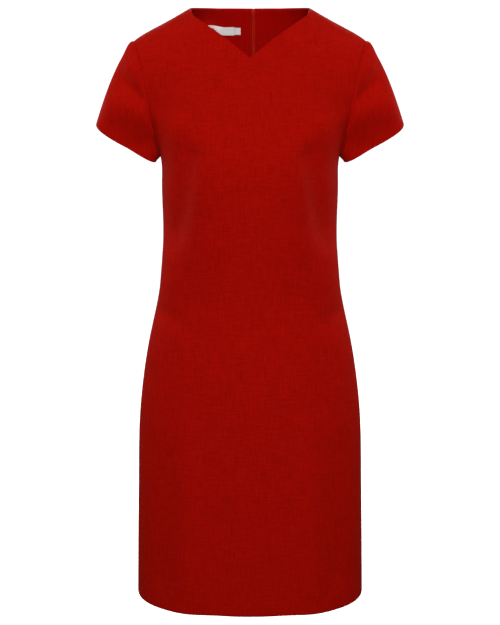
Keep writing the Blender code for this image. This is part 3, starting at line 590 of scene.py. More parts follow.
@dataclass
class ClothField:
    """A grid of points with their inward directions and their places on the flat cloth.

    values holds, for each point, its place, its inward direction and its flat place, 8 numbers.
    """

    values: np.ndarray

    @classmethod
    def measured(cls, points: np.ndarray, inward: np.ndarray, middle_column: int) -> "ClothField":
        """Return the field with flat places measured along its rows and columns.

        Args:
            points: the grid of points.
            inward: their inward directions.
            middle_column: the column from which widths are measured.

        Returns:
            The field.
        """
        across = np.array([lengths_along(row) for row in points])
        across = across - across[:, middle_column:middle_column + 1]
        along = np.array([lengths_along(column) for column in points.swapaxes(0, 1)]).T
        return cls(np.concatenate((points, inward, across[..., None], along[..., None]), axis=-1))

    @property
    def points(self) -> np.ndarray:
        """Return the grid of points."""
        return self.values[..., :3]

    @property
    def inward(self) -> np.ndarray:
        """Return the inward directions."""
        return self.values[..., 3:6]

    def lifted(self, depth: np.ndarray | float, flip: bool = False) -> "ClothField":
        """Return the field moved inwards, and turned to face the other way if asked."""
        values = self.values.copy()
        values[..., :3] += self.inward * np.broadcast_to(depth, self.values.shape[:2])[..., None]
        if flip:
            values[..., 3:6] *= -1
        return ClothField(values)

    def line(self, distance: float, from_top: bool = False) -> tuple[np.ndarray, np.ndarray]:
        """Return a line that runs at a distance from the first or the last row.

        Args:
            distance: how far from that row it runs.
            from_top: whether that is the last row.

        Returns:
            The line's points and their outward directions.
        """
        path = []
        for column in self.values.swapaxes(0, 1)[1:-1]:
            course = column[::-1] if from_top else column
            path.append(read_along(course, np.array((distance,)), lengths_along(course[:, :3]))[0])
        path = np.array(path)
        return path[:, :3], -unit(path[:, 3:6])

    def at_distances(self, distances: np.ndarray) -> "ClothField":
        """Return the field with each row read at distances from its first column."""
        return ClothField(np.array([read_along(row, distances, lengths_along(row[:, :3]))
                                    for row in self.values]))


@dataclass(frozen=True)
class Edge:
    """How one edge of a piece is finished: turned under by an allowance, or cut."""

    allowance: float = 0.0
    longest_share: float = 0.42
    roll_steps: int = 4
    flat_steps: int = 3


CUT_EDGE = Edge()


@dataclass(frozen=True)
class Cloth:
    """A cloth's thickness and the outer radius at which it turns under."""

    thickness: float
    turn_radius: float

    def course(self, edge: Edge, layer: Layer) -> tuple[np.ndarray, np.ndarray, np.ndarray]:
        """Return how one face of the cloth runs from an edge's raw end to the flat cloth.

        Args:
            edge: the edge.
            layer: the face of the cloth.

        Returns:
            Distances from the edge, the share of the allowance at each, and depths.
        """
        cover = layer.value * self.thickness
        if edge.allowance == 0.0:
            return np.zeros(1), np.zeros(1), np.full(1, cover)
        reach = self.turn_radius - cover
        angle = np.linspace(math.pi, 0.0, edge.roll_steps + 1)
        roll = self.turn_radius - reach * np.sin(angle)
        depth = self.turn_radius - reach * np.cos(angle)
        share = np.linspace(1.0, 0.0, edge.flat_steps + 1)[:-1]
        distance = np.concatenate((np.full(len(share), self.turn_radius), roll))
        return (distance, np.concatenate((share, np.zeros(len(roll)))),
                np.concatenate((np.full(len(share), depth[0]), depth)))

    def places(self, length: np.ndarray, first: Edge, last: Edge, layer: Layer) -> np.ndarray:
        """Return where along a line its extended points lie.

        Args:
            length: how far along the line its points lie.
            first: the edge at its start.
            last: the edge at its end.
            layer: the face of the cloth.

        Returns:
            Distances along the line, from one raw end to the other.
        """
        total = length[-1]
        ends = []
        for edge in (first, last):
            distance, share, _ = self.course(edge, layer)
            wide = max(min(edge.allowance, edge.longest_share * total) - self.turn_radius, 0.0)
            ends.append(distance + share * wide)
        start = ends[0][-1]
        rest = total - start - ends[1][-1]
        middle = start + length[1:-1] * rest / total
        return np.concatenate((ends[0], middle, total - ends[1][::-1]))

    def extended(self, values: np.ndarray, first: Edge, last: Edge, layer: Layer) -> np.ndarray:
        """Return rows of values with the turned edges at their ends added."""
        rows = []
        for row in values:
            length = lengths_along(row[:, :3])
            rows.append(read_along(row, self.places(length, first, last, layer), length))
        return np.array(rows)

    def depths(self, count: int, first: Edge, last: Edge, layer: Layer) -> np.ndarray:
        """Return the depth of each point of an extended line of so many points."""
        cover = layer.value * self.thickness
        start, end = self.course(first, layer)[2], self.course(last, layer)[2]
        return np.concatenate((start, np.full(count - 2, cover), end[::-1]))

    def turned_cells(self, count: int, first: Edge, last: Edge) -> np.ndarray:
        """Return which cells of an extended line belong to its turned edges."""
        start = len(self.course(first, Layer.RIGHT_SIDE)[0]) - 1
        end = len(self.course(last, Layer.RIGHT_SIDE)[0]) - 1
        return np.concatenate((np.full(start, True), np.full(count - 1, False), np.full(end, True)))


@dataclass(frozen=True)
class Edges:
    """The four edges of a piece: first and last row, first and last column."""

    low: Edge = CUT_EDGE
    high: Edge = CUT_EDGE
    first: Edge = CUT_EDGE
    last: Edge = CUT_EDGE


@dataclass
class Shell:
    """A closed thin shell of cloth on a field of points."""

    name: str
    cloth: Cloth
    edges: Edges
    material: bpy.types.Material
    sharp_angle: float = math.radians(60)

    def layer_points(self, cloth_field: ClothField, layer: Layer) -> np.ndarray:
        """Return one face's points and flat places, turned edges included."""
        edges = self.edges
        wide = self.cloth.extended(cloth_field.values, edges.first, edges.last, layer)
        tall = self.cloth.extended(wide.swapaxes(0, 1), edges.low, edges.high, layer).swapaxes(0, 1)
        rows, columns = cloth_field.values.shape[:2]
        by_column = self.cloth.depths(columns, edges.first, edges.last, layer)
        by_row = self.cloth.depths(rows, edges.low, edges.high, layer)
        depth = by_row[:, None] + by_column[None] - layer.value * self.cloth.thickness
        tall[..., :3] += tall[..., 3:6] * depth[..., None]
        return tall

    def cell_faces(self, kept: np.ndarray) -> np.ndarray:
        """Return both faces' quads and the rim that joins them, as point numbers.

        Args:
            kept: which cells of the grid the piece has.

        Returns:
            The quads, four point numbers each.
        """
        rows, columns = kept.shape[0] + 1, kept.shape[1] + 1
        number = np.arange(rows * columns).reshape(rows, columns)
        other = rows * columns
        corners = (number[:-1, :-1], number[:-1, 1:], number[1:, 1:], number[1:, :-1])
        upper = np.stack(corners, axis=-1)[kept]
        around = np.pad(kept, 1)
        beside = (around[:-2, 1:-1], around[1:-1, 2:], around[2:, 1:-1], around[1:-1, :-2])
        quads = [upper, upper[:, ::-1] + other]
        for index, neighbour in enumerate(beside):
            rim = kept & ~neighbour
            start, end = corners[index][rim], corners[(index + 1) % 4][rim]
            quads.append(np.stack((end, start, start + other, end + other), axis=-1))
        return np.concatenate(quads)

    def build(self, cloth_field: ClothField) -> bpy.types.Object:
        """Build the shell.

        Args:
            cloth_field: the points of its right side, inward directions pointing at its wrong side.

        Returns:
            The object, its place in its mesh.
        """
        layers = [self.layer_points(cloth_field, layer) for layer in Layer]
        rows, columns = cloth_field.values.shape[:2]
        turned_rows = self.cloth.turned_cells(rows, self.edges.low, self.edges.high)
        turned_columns = self.cloth.turned_cells(columns, self.edges.first, self.edges.last)
        quads = self.cell_faces(~(turned_rows[:, None] & turned_columns[None]))
        points = np.concatenate([layer[..., :3].reshape(-1, 3) for layer in layers])
        flat = np.concatenate([layer[..., 6:8].reshape(-1, 2) for layer in layers])
        used, quads = np.unique(quads, return_inverse=True)
        quads = quads.reshape(-1, 4)
        points, flat = points[used], flat[used]
        centre = (rows // 2, columns // 2)
        along = cloth_field.points[centre[0] + 1, centre[1]] - cloth_field.points[centre]
        across = cloth_field.points[centre[0], centre[1] + 1] - cloth_field.points[centre]
        if np.cross(across, along).dot(cloth_field.inward[centre]) > 0:
            quads = quads[:, ::-1]
        return new_piece(self.name, points, quads, self.material, flat, self.sharp_angle)


def new_piece(name: str, points: np.ndarray, faces: np.ndarray, material: bpy.types.Material,
              flat: np.ndarray | None = None, sharp_angle: float = math.radians(40)) -> bpy.types.Object:
    """Make a smooth mesh object.

    Args:
        name: its name.
        points: its points.
        faces: its faces.
        material: its material.
        flat: places on the flat cloth in metres, kept as its UV map.
        sharp_angle: edges sharper than this stay sharp.

    Returns:
        The object.
    """
    mesh = bpy.data.meshes.new(name)
    mesh.from_pydata(points.tolist(), [], [list(face) for face in faces])
    mesh.shade_smooth()
    mesh.set_sharp_from_angle(angle=sharp_angle)
    if flat is not None:
        uv = mesh.uv_layers.new(name=FLAT_CLOTH)
        corner = np.zeros(len(mesh.loops), dtype=np.int32)
        mesh.loops.foreach_get("vertex_index", corner)
        uv.data.foreach_set("uv", flat[corner].astype(np.float32).ravel())
    mesh.materials.append(material)
    return link_object(name, mesh)


# Nodes and finishes

FLAT_CLOTH = "flat_cloth"


def add_node(tree: bpy.types.NodeTree, kind: str, settings: dict | None = None,
             inputs: dict | None = None) -> bpy.types.Node:
    """Add a node with its settings and links.

    Args:
        tree: the node tree.
        kind: the node's type.
        settings: the node's own properties.
        inputs: values or output sockets by the input's name or number.

    Returns:
        The node.
    """
    node = tree.nodes.new(kind)
    for name, value in (settings or {}).items():
        setattr(node, name, value)
    for key, value in (inputs or {}).items():
        if isinstance(value, bpy.types.NodeSocket):
            tree.links.new(value, node.inputs[key])
        else:
            node.inputs[key].default_value = value
    return node


def linear(colour: str) -> tuple[float, float, float, float]:
    """Turn an sRGB hex colour to linear red, green, blue and alpha."""
    shares = [int(colour[start:start + 2], 16) / 255 for start in (1, 3, 5)]
    return (*(share / 12.92 if share <= 0.04045 else ((share + 0.055) / 1.055) ** 2.4
              for share in shares), 1.0)


def new_material(name: str, inputs: dict) -> bpy.types.Material:
    """Make a material and set its shader's inputs."""
    material = bpy.data.materials.new(name)
    material.use_nodes = True
    for key, value in inputs.items():
        material.node_tree.nodes["Principled BSDF"].inputs[key].default_value = value
    return material


def add_surface(tree: bpy.types.NodeTree, tones: tuple[str, str], share: bpy.types.NodeSocket,
                height: bpy.types.NodeSocket, relief: float) -> None:
    """Give a shader its colour and its relief.

    Args:
        tree: the material's nodes.
        tones: its darkest and its lightest colour.
        share: how far it lies from the dark to the light one.
        height: the height of the surface, from 0 to 1.
        relief: that height's full size.
    """
    shader = tree.nodes["Principled BSDF"]
    colour = add_node(tree, "ShaderNodeMix", {"data_type": "RGBA"},
                      {"Factor": share, 6: linear(tones[0]), 7: linear(tones[1])})
    tree.links.new(colour.outputs[2], shader.inputs["Base Color"])
    bump = add_node(tree, "ShaderNodeBump", {}, {"Height": height, "Distance": relief, "Strength": 1.0})
    tree.links.new(bump.outputs["Normal"], shader.inputs["Normal"])


# A wave texture of scale 1 repeats after this length.
WAVE_LENGTH = math.pi / 10


@dataclass(frozen=True)
class WovenFinish:
    """A woven cloth: its thread spacing, its slubs and how it takes the light."""

    name: str
    dark: str
    light: str
    thread: float
    slub_width: float
    slub_length: float
    slub_relief: float
    roughness: float
    specular: float
    sheen: float
    sheen_tint: str
    slub_waver: float = 0.9
    slub_range: tuple[float, float] = (0.80, 1.20)
    mottle_scale: float = 26.0
    mottle_share: float = 0.12
    thread_waver: float = 0.6
    thread_share: float = 0.35

    def material(self) -> bpy.types.Material:
        """Return the material, on the piece's own flat cloth."""
        material = new_material(self.name, {
            "Roughness": self.roughness, "Specular IOR Level": self.specular, "Sheen Weight": self.sheen,
            "Sheen Tint": linear(self.sheen_tint)})
        tree = material.node_tree
        flat = add_node(tree, "ShaderNodeUVMap", {"uv_map": FLAT_CLOTH}).outputs["UV"]
        slubs = []
        for scale in ((1 / self.slub_width, 1 / self.slub_length, 1.0),
                      (1 / self.slub_length, 1 / self.slub_width, 1.0)):
            threads = add_node(tree, "ShaderNodeMapping", {}, {"Vector": flat, "Scale": scale})
            noise = add_node(tree, "ShaderNodeTexNoise", {"noise_dimensions": "2D"},
                             {"Vector": threads.outputs["Vector"], "Scale": 1.0, "Detail": 2.0,
                              "Distortion": self.slub_waver})
            slubs.append(noise.outputs["Fac"])
        both = add_node(tree, "ShaderNodeMath", {"operation": "ADD"}, {0: slubs[0], 1: slubs[1]})
        spread = add_node(tree, "ShaderNodeMapRange", {},
                          {"Value": both.outputs["Value"], "From Min": self.slub_range[0],
                           "From Max": self.slub_range[1]})
        mottle = add_node(tree, "ShaderNodeTexNoise", {"noise_dimensions": "2D"},
                          {"Vector": flat, "Scale": self.mottle_scale, "Detail": 3.0})
        uneven = add_node(tree, "ShaderNodeMix", {"data_type": "FLOAT"},
                          {"Factor": self.mottle_share, 2: spread.outputs["Result"],
                           3: mottle.outputs["Fac"]})
        weave = []
        for direction in ("X", "Y"):
            wave = add_node(tree, "ShaderNodeTexWave", {"bands_direction": direction},
                            {"Vector": flat, "Scale": WAVE_LENGTH / self.thread,
                             "Distortion": self.thread_waver})
            weave.append(wave.outputs["Fac"])
        plain = add_node(tree, "ShaderNodeMath", {"operation": "MULTIPLY"}, {0: weave[0], 1: weave[1]})
        relief = add_node(tree, "ShaderNodeMix", {"data_type": "FLOAT"},
                          {"Factor": self.thread_share, 2: spread.outputs["Result"],
                           3: plain.outputs["Value"]})
        add_surface(tree, (self.dark, self.light), uneven.outputs[0], relief.outputs[0], self.slub_relief)
        return material


@dataclass(frozen=True)
class SmoothFinish:
    """A hard or a thread-like surface with fine unevenness: dyed nylon, enamel or sewing thread."""

    name: str
    dark: str
    light: str
    grain: float
    relief: float
    roughness: float
    specular: float = 0.5

    def material(self) -> bpy.types.Material:
        """Return the material, on Object coordinates."""
        material = new_material(self.name, {"Roughness": self.roughness,
                                            "Specular IOR Level": self.specular})
        tree = material.node_tree
        place = add_node(tree, "ShaderNodeTexCoord").outputs["Object"]
        noise = add_node(tree, "ShaderNodeTexNoise", {},
                         {"Vector": place, "Scale": 1 / self.grain, "Detail": 3.0})
        spots = noise.outputs["Fac"]
        add_surface(tree, (self.dark, self.light), spots, spots, self.relief)
        return material


# Viscose and polyester suiting in a plain weave: matt, with slubs both ways. Its threads are about
# 0.5 mm apart and drawn at 0.9 mm, and its slubs are drawn 1.5 mm wide and 24 mm long. Both are coarser
# than real, so that they show.
SUITING = WovenFinish("plain_weave_suiting", "#900500", "#a40900", 0.9 * MM, 1.5 * MM, 24 * MM, 0.05 * MM,
                      0.86, 0.03, 0.06, "#ff4008")
# The same suiting with an interlining bonded to it, which makes it flatter. Its colours are painted lighter
# than the suiting's: painted light inside the back neck, where little lamp light reaches.
FACING_SUITING_PAINTED_LIGHTER = WovenFinish("fused_suiting", "#a40200", "#b00400", 0.9 * MM, 1.1 * MM, 30 * MM, 0.04 * MM,
                            0.80, 0.05, 0.05, "#ff4810")
# Woven polyester zip tape, dyed to match.
ZIP_TAPE = WovenFinish("woven_zip_tape", "#a40603", "#b00c06", 0.6 * MM, 0.8 * MM, 20 * MM, 0.06 * MM,
                       0.75, 0.06, 0.05, "#ff5020")
# Woven polyester satin ribbon: white, with a soft lustre along its floats.
SATIN_RIBBON = WovenFinish("satin_ribbon", "#f4f4f2", "#ffffff", 0.5 * MM, 0.5 * MM, 12 * MM, 0.03 * MM,
                           0.50, 0.70, 0.50, "#ffffff")
# Nylon monofilament coil, dyed: smooth, so that each loop catches a small light.
DYED_NYLON = SmoothFinish("dyed_nylon", "#cc1c0c", "#d82612", 1.5 * MM, 0.01 * MM, 0.60, specular=0.02)
# Enamel baked on die-cast zinc, dyed to match: a smooth skin with a soft shine.
ENAMEL = SmoothFinish("baked_enamel", "#bc1a0c", "#c82010", 4.0 * MM, 0.01 * MM, 0.50, specular=0.08)
# Spun polyester sewing thread, dyed to match: a soft fibre surface.
THREAD = SmoothFinish("spun_thread", "#940803", "#a81208", 0.6 * MM, 0.03 * MM, 0.75, specular=0.15)
# White spun thread that holds the label.
WHITE_THREAD = SmoothFinish("white_thread", "#dddcd8", "#f0efec", 0.6 * MM, 0.03 * MM, 0.70)


# Sewing and zip teeth along paths, by Geometry Nodes

OUTWARD = "outward"


class Repeat(Enum):
    """What is repeated along a path."""

    STITCH = "stitch"
    COIL_LOOP = "coil_loop"


@dataclass(frozen=True)
class PathRepeat:
    """A small shape repeated along a path: a kind of stitch, or the loops of a coil.

    The radii are shares of the shape's size.
    """

    shape: Repeat
    pitch: float
    length: float
    width: float
    height: float
    unevenness: float = 0.06
    seed: int = 7
    stitch_sides: int = 8
    stitch_rings: int = 5
    stitch_radius: float = 0.5
    loop_sides: int = 12
    loop_radius: float = 0.38
    filament_sides: int = 6
    filament_radius: float = 0.12

    def tree(self, name: str) -> bpy.types.NodeTree:
        """Build the node tree: a shape set on the points of a resampled path."""
        tree = bpy.data.node_groups.new(name, "GeometryNodeTree")
        numbers = [(label, "Float") for label in ("Pitch", "Length", "Width", "Height", "Unevenness")]
        for label, kind in (("Geometry", "Geometry"), *numbers, ("Seed", "Int"), ("Finish", "Material")):
            tree.interface.new_socket(label, in_out="INPUT", socket_type="NodeSocket" + kind)
        tree.interface.new_socket("Geometry", in_out="OUTPUT", socket_type="NodeSocketGeometry")
        given = add_node(tree, "NodeGroupInput").outputs
        path = add_node(tree, "GeometryNodeMeshToCurve", {}, {"Mesh": given["Geometry"]})
        points = add_node(tree, "GeometryNodeResampleCurve", {"mode": "LENGTH"},
                          {"Curve": path.outputs["Curve"], "Length": given["Pitch"]})
        tangent = add_node(tree, "GeometryNodeInputTangent")
        outward = add_node(tree, "GeometryNodeInputNamedAttribute", {"data_type": "FLOAT_VECTOR"},
                           {"Name": OUTWARD})
        along = add_node(tree, "FunctionNodeAlignRotationToVector", {"axis": "X"},
                         {"Vector": tangent.outputs["Tangent"]})
        turned = add_node(tree, "FunctionNodeAlignRotationToVector", {"axis": "Z", "pivot_axis": "X"},
                          {"Rotation": along.outputs["Rotation"], "Vector": outward.outputs["Attribute"]})
        size = add_node(tree, "ShaderNodeCombineXYZ", {},
                        {"X": given["Length"], "Y": given["Width"], "Z": given["Height"]})
        less = add_node(tree, "ShaderNodeMath", {"operation": "SUBTRACT"}, {0: 1.0, 1: given["Unevenness"]})
        more = add_node(tree, "ShaderNodeMath", {"operation": "ADD"}, {0: 1.0, 1: given["Unevenness"]})
        vary = add_node(tree, "FunctionNodeRandomValue", {"data_type": "FLOAT"},
                        {2: less.outputs["Value"], 3: more.outputs["Value"], "Seed": given["Seed"]})
        scale = add_node(tree, "ShaderNodeVectorMath", {"operation": "SCALE"},
                         {0: size.outputs["Vector"], "Scale": vary.outputs[1]})
        made = add_node(tree, "GeometryNodeInstanceOnPoints", {},
                        {"Points": points.outputs["Curve"], "Instance": self.shape_socket(tree),
                         "Rotation": turned.outputs["Rotation"], "Scale": scale.outputs["Vector"]})
        real = add_node(tree, "GeometryNodeRealizeInstances", {}, {"Geometry": made.outputs["Instances"]})
        smooth = add_node(tree, "GeometryNodeSetShadeSmooth", {}, {"Geometry": real.outputs["Geometry"]})
        dressed = add_node(tree, "GeometryNodeSetMaterial", {},
                           {"Geometry": smooth.outputs["Geometry"], "Material": given["Finish"]})
        add_node(tree, "NodeGroupOutput", {}, {"Geometry": dressed.outputs["Geometry"]})
        return tree

    def shape_socket(self, tree: bpy.types.NodeTree) -> bpy.types.NodeSocket:
        """Return the shape of size one: a rounded stitch, or a flat loop of filament."""
        if self.shape is Repeat.STITCH:
            return add_node(tree, "GeometryNodeMeshUVSphere", {},
                            {"Segments": self.stitch_sides, "Rings": self.stitch_rings,
                             "Radius": self.stitch_radius}).outputs["Mesh"]
        ring = add_node(tree, "GeometryNodeCurvePrimitiveCircle", {},
                        {"Resolution": self.loop_sides, "Radius": self.loop_radius})
        filament = add_node(tree, "GeometryNodeCurvePrimitiveCircle", {},
                            {"Resolution": self.filament_sides, "Radius": self.filament_radius})
        loop = add_node(tree, "GeometryNodeCurveToMesh", {},
                        {"Curve": ring.outputs["Curve"], "Profile Curve": filament.outputs["Curve"]})
        return loop.outputs["Mesh"]

    def row(self, name: str, path: np.ndarray, outward: np.ndarray,
            material: bpy.types.Material) -> bpy.types.Object:
        """Repeat the shape along a path.

        Args:
            name: the row's name.
            path: the path's points.
            outward: the direction off the cloth at each.
            material: the material.

        Returns:
            One plain mesh object.
        """
        mesh = bpy.data.meshes.new(name)
        mesh.from_pydata(path.tolist(), [(index, index + 1) for index in range(len(path) - 1)], [])
        attribute = mesh.attributes.new(OUTWARD, "FLOAT_VECTOR", "POINT")
        attribute.data.foreach_set("vector", outward.astype(np.float32).ravel())
        carrier = link_object(name + "_path", mesh)
        tree = self.tree(name)
        modifier = carrier.modifiers.new("repeat", "NODES")
        modifier.node_group = tree
        values = {"Pitch": self.pitch, "Length": self.length, "Width": self.width, "Height": self.height,
                  "Unevenness": self.unevenness, "Seed": self.seed, "Finish": material}
        for item in tree.interface.items_tree:
            if item.in_out == "INPUT" and item.name in values:
                modifier[item.identifier] = values[item.name]
        graph = bpy.context.evaluated_depsgraph_get()
        made = bpy.data.meshes.new_from_object(carrier.evaluated_get(graph), depsgraph=graph)
        made.name = name
        made.materials.clear()
        made.materials.append(material)
        made.polygons.foreach_set("material_index", np.zeros(len(made.polygons), dtype=np.int32))
        piece = link_object(name, made)
        bpy.data.objects.remove(carrier)
        return piece


TOPSTITCH = PathRepeat(Repeat.STITCH, 2.8 * MM, 2.3 * MM, 0.45 * MM, 0.30 * MM)
OVERLOCK = PathRepeat(Repeat.STITCH, 2.2 * MM, 0.45 * MM, 3.2 * MM, 0.35 * MM)
BLIND_STITCH = PathRepeat(Repeat.STITCH, 7.0 * MM, 0.9 * MM, 0.5 * MM, 0.25 * MM)


# Sub-assemblies

def finish_piece(piece: bpy.types.Object, nodes: Sequence[str] = ()) -> None:
    """Set a piece on the dress's body and the solids it stands for.

    Args:
        piece: the piece.
        nodes: the solids that it replaces.
    """
    if nodes:
        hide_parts(*nodes)
    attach(piece, "root")
    log.info("%s: %d faces", piece.name, len(piece.data.polygons))


@dataclass
class Body:
    """The front and the two backs."""

    cut: PanelCut
    cloth: Cloth
    material: bpy.types.Material
    thread: bpy.types.Material
    seam: Edge = Edge(13 * MM)
    neck_seam: Edge = Edge(8 * MM)
    hem: Edge = Edge(32 * MM, flat_steps=6)
    hem_sewn_at: float = 26 * MM
    fields: dict = field(default_factory=dict)

    def build(self) -> None:
        """Build the three panels with their hems and seams turned under."""
        edges = Edges(low=self.hem, high=self.neck_seam, first=self.seam, last=self.seam)
        cut = self.cut
        self.fields["front"] = cut.field(Face.FRONT, cut.front_grid(), cut.half_columns)
        for side in (Side.RIGHT, Side.LEFT):
            self.fields["back_" + side.name.lower()] = cut.field(Face.BACK, cut.back_grid(side), 0)
        self.pieces = {name: Shell(f"{name}_cloth", self.cloth, edges, self.material).build(cloth_field)
                       for name, cloth_field in self.fields.items()}
        self.sewing = {name: BLIND_STITCH.row(f"{name}_hem_stitches", *cloth_field.line(self.hem_sewn_at),
                                              self.thread)
                       for name, cloth_field in self.fields.items()}

    def back(self, side: Side) -> ClothField:
        """Return the field of one back."""
        return self.fields["back_" + side.name.lower()]

    def dress(self) -> None:
        """Set each panel in the place of its solid."""
        for name, piece in self.pieces.items():
            finish_piece(piece, [name])
            finish_piece(self.sewing[name])


@dataclass
class Sleeve:
    """A short set-in sleeve, sewn round the armhole and along the underarm."""

    side: Side
    body: Body
    cloth: Cloth
    material: bpy.types.Material
    hem_outer: tuple[float, float] = (0.2495, -0.1630)
    hem_inner: tuple[float, float] = (0.1530, -0.2208)
    half_depth: float = 0.0410
    set_back: float = 0.0050
    squareness: float = 2.9
    end_rise: float = 4.0 * MM
    end_rise_power: float = 8.0
    hem_course: tuple[float, float] = (0.30, -0.954)
    leaving: float = 0.74
    arriving: float = 0.79
    row_crowding: float = 1.30
    leaving_squeeze: tuple[float, float, float] = (1.0, 0.2, 1.0)
    cap_swell: float = 3.0 * MM
    cap_rise: tuple[float, float] = (0.0, 0.06)
    cap_fall: tuple[float, float] = (0.07, 0.26)
    cap_narrowing: int = 3
    fold_facing: tuple[float, float] = (0.1, 0.7)
    fold_start: tuple[float, float] = (0.0, 0.2)
    rows: int = 49
    armhole_seam: Edge = Edge(8 * MM)
    underarm_seam: Edge = Edge(9 * MM)
    hem: Edge = Edge(25 * MM, flat_steps=5)
    hem_sewn_at: float = 20 * MM

    def armhole(self) -> tuple[np.ndarray, np.ndarray]:
        """Return the armhole's points and normals, from the underarm up the front and down the back."""
        front = self.body.fields["front"]
        back = self.body.back(self.side)
        column = -1 if self.side is Side.RIGHT else 0
        count = self.body.cut.armhole_rows + 1
        loops = []
        for kind in ("points", "inward"):
            front_edge = getattr(front, kind)[-count:, column]
            back_edge = getattr(back, kind)[-count:, -1]
            underarm = (front_edge[:1] + back_edge[:1]) / 2
            shoulder = (front_edge[-1:] + back_edge[-1:]) / 2
            loops.append(np.concatenate((underarm, front_edge[1:-1], shoulder, back_edge[-2:0:-1])))
        return loops[0], -unit(loops[1])

    def hem_ring(self, count: int) -> np.ndarray:
        """Return the hem from its inner end, round the front, the outer end and the back."""
        angle = np.linspace(0.0, 2 * math.pi, count, endpoint=False)
        cosine, sine = np.cos(angle), np.sin(angle)
        scale = rounded_reach(cosine, sine, self.squareness)
        inner = np.array((self.side.value * self.hem_inner[0], self.set_back, self.hem_inner[1]))
        outer = np.array((self.side.value * self.hem_outer[0], self.set_back, self.hem_outer[1]))
        middle = (inner + outer) / 2
        forward = np.array((0.0, -self.half_depth, 0.0))
        rise = self.end_rise * np.maximum(-cosine * scale, 0.0) ** self.end_rise_power
        ring = middle + (scale * cosine)[:, None] * (inner - middle) + (scale * sine)[:, None] * forward
        ring[:, 2] += rise
        return ring

    @staticmethod
    def tube_normals(points: np.ndarray) -> np.ndarray:
        """Return the normals of a closed tube of points, rows along it and columns round it."""
        around = np.roll(points, -1, axis=1) - np.roll(points, 1, axis=1)
        return unit(np.cross(around, np.gradient(points, axis=0)))

    def tube(self) -> ClothField:
        """Return the sleeve's points and inward directions, from the armhole to its hem."""
        loop, normals = self.armhole()
        count = len(loop)
        shoulder = count // 2
        course = np.roll(loop, -1, axis=0) - np.roll(loop, 1, axis=0)
        leaving = unit(np.cross(course, normals))
        leaving *= np.sign(leaving[shoulder, 0]) * self.side.value
        start = loop + leaving * self.body.cut.form.seam_gap
        ring = self.hem_ring(count)
        reach = np.linalg.norm(ring - start, axis=1)[:, None]
        hem_course = np.array((self.side.value * self.hem_course[0], 0.0, self.hem_course[1]))
        over = (1 - np.cos(np.linspace(0.0, 2 * math.pi, count, endpoint=False)))[:, None] / 2
        first = unit(leaving * self.leaving_squeeze * over + hem_course * (1 - over)) * reach * self.leaving
        last = hem_course * reach * self.arriving
        share = (np.linspace(0.0, 1.0, self.rows) ** self.row_crowding)[:, None, None]
        square, cube = share ** 2, share ** 3
        points = (2 * cube - 3 * square + 1) * start + (cube - 2 * square + share) * first
        points = points + (3 * square - 2 * cube) * ring + (cube - square) * last
        outward = self.tube_normals(points)
        outward *= np.sign(np.sum(outward[:, shoulder, 0]) * self.side.value)
        across = self.side.value * points[..., 0]
        lift = {face: fold_rise(SLEEVE_FOLDS[face] + SLEEVE_CREASES[face], across, points[..., 2])
                for face in Face}
        rise = np.where(points[..., 1] < 0, lift[Face.FRONT], lift[Face.BACK])
        rise = rise * fade(np.abs(outward[..., 1]), *self.fold_facing)
        rise = rise * fade(share[..., 0], *self.fold_start)
        cap = fade(share[..., 0], *self.cap_rise) - fade(share[..., 0], *self.cap_fall)
        rise = rise + self.cap_swell * cap * over[:, 0] ** self.cap_narrowing
        points = points + outward * rise[..., None]
        inward = -self.tube_normals(points)
        inward *= -np.sign(np.sum(inward[:, shoulder, 0]) * self.side.value)
        toward_panel = np.minimum(np.sum(inward[0] * leaving, axis=1), 0.0)[:, None]
        inward[0] = unit(inward[0] - toward_panel * leaving)
        points = np.concatenate((points, points[:, :1]), axis=1)
        inward = np.concatenate((inward, inward[:, :1]), axis=1)
        return ClothField.measured(points, inward, shoulder)

    def build(self) -> None:
        """Build the sleeve with its seams and its hem turned under."""
        name = "sleeve_" + self.side.name.lower()
        edges = Edges(low=self.armhole_seam, high=self.hem, first=self.underarm_seam,
                      last=self.underarm_seam)
        tube = self.tube()
        self.piece = Shell(f"{name}_cloth", self.cloth, edges, self.material).build(tube)
        self.sewing = BLIND_STITCH.row(f"{name}_hem_stitches", *tube.line(self.hem_sewn_at, from_top=True),
                                       self.body.thread)

    def dress(self) -> None:
        """Set the sleeve in the place of its solid."""
        finish_piece(self.piece, ["sleeve_" + self.side.name.lower()])
        finish_piece(self.sewing)


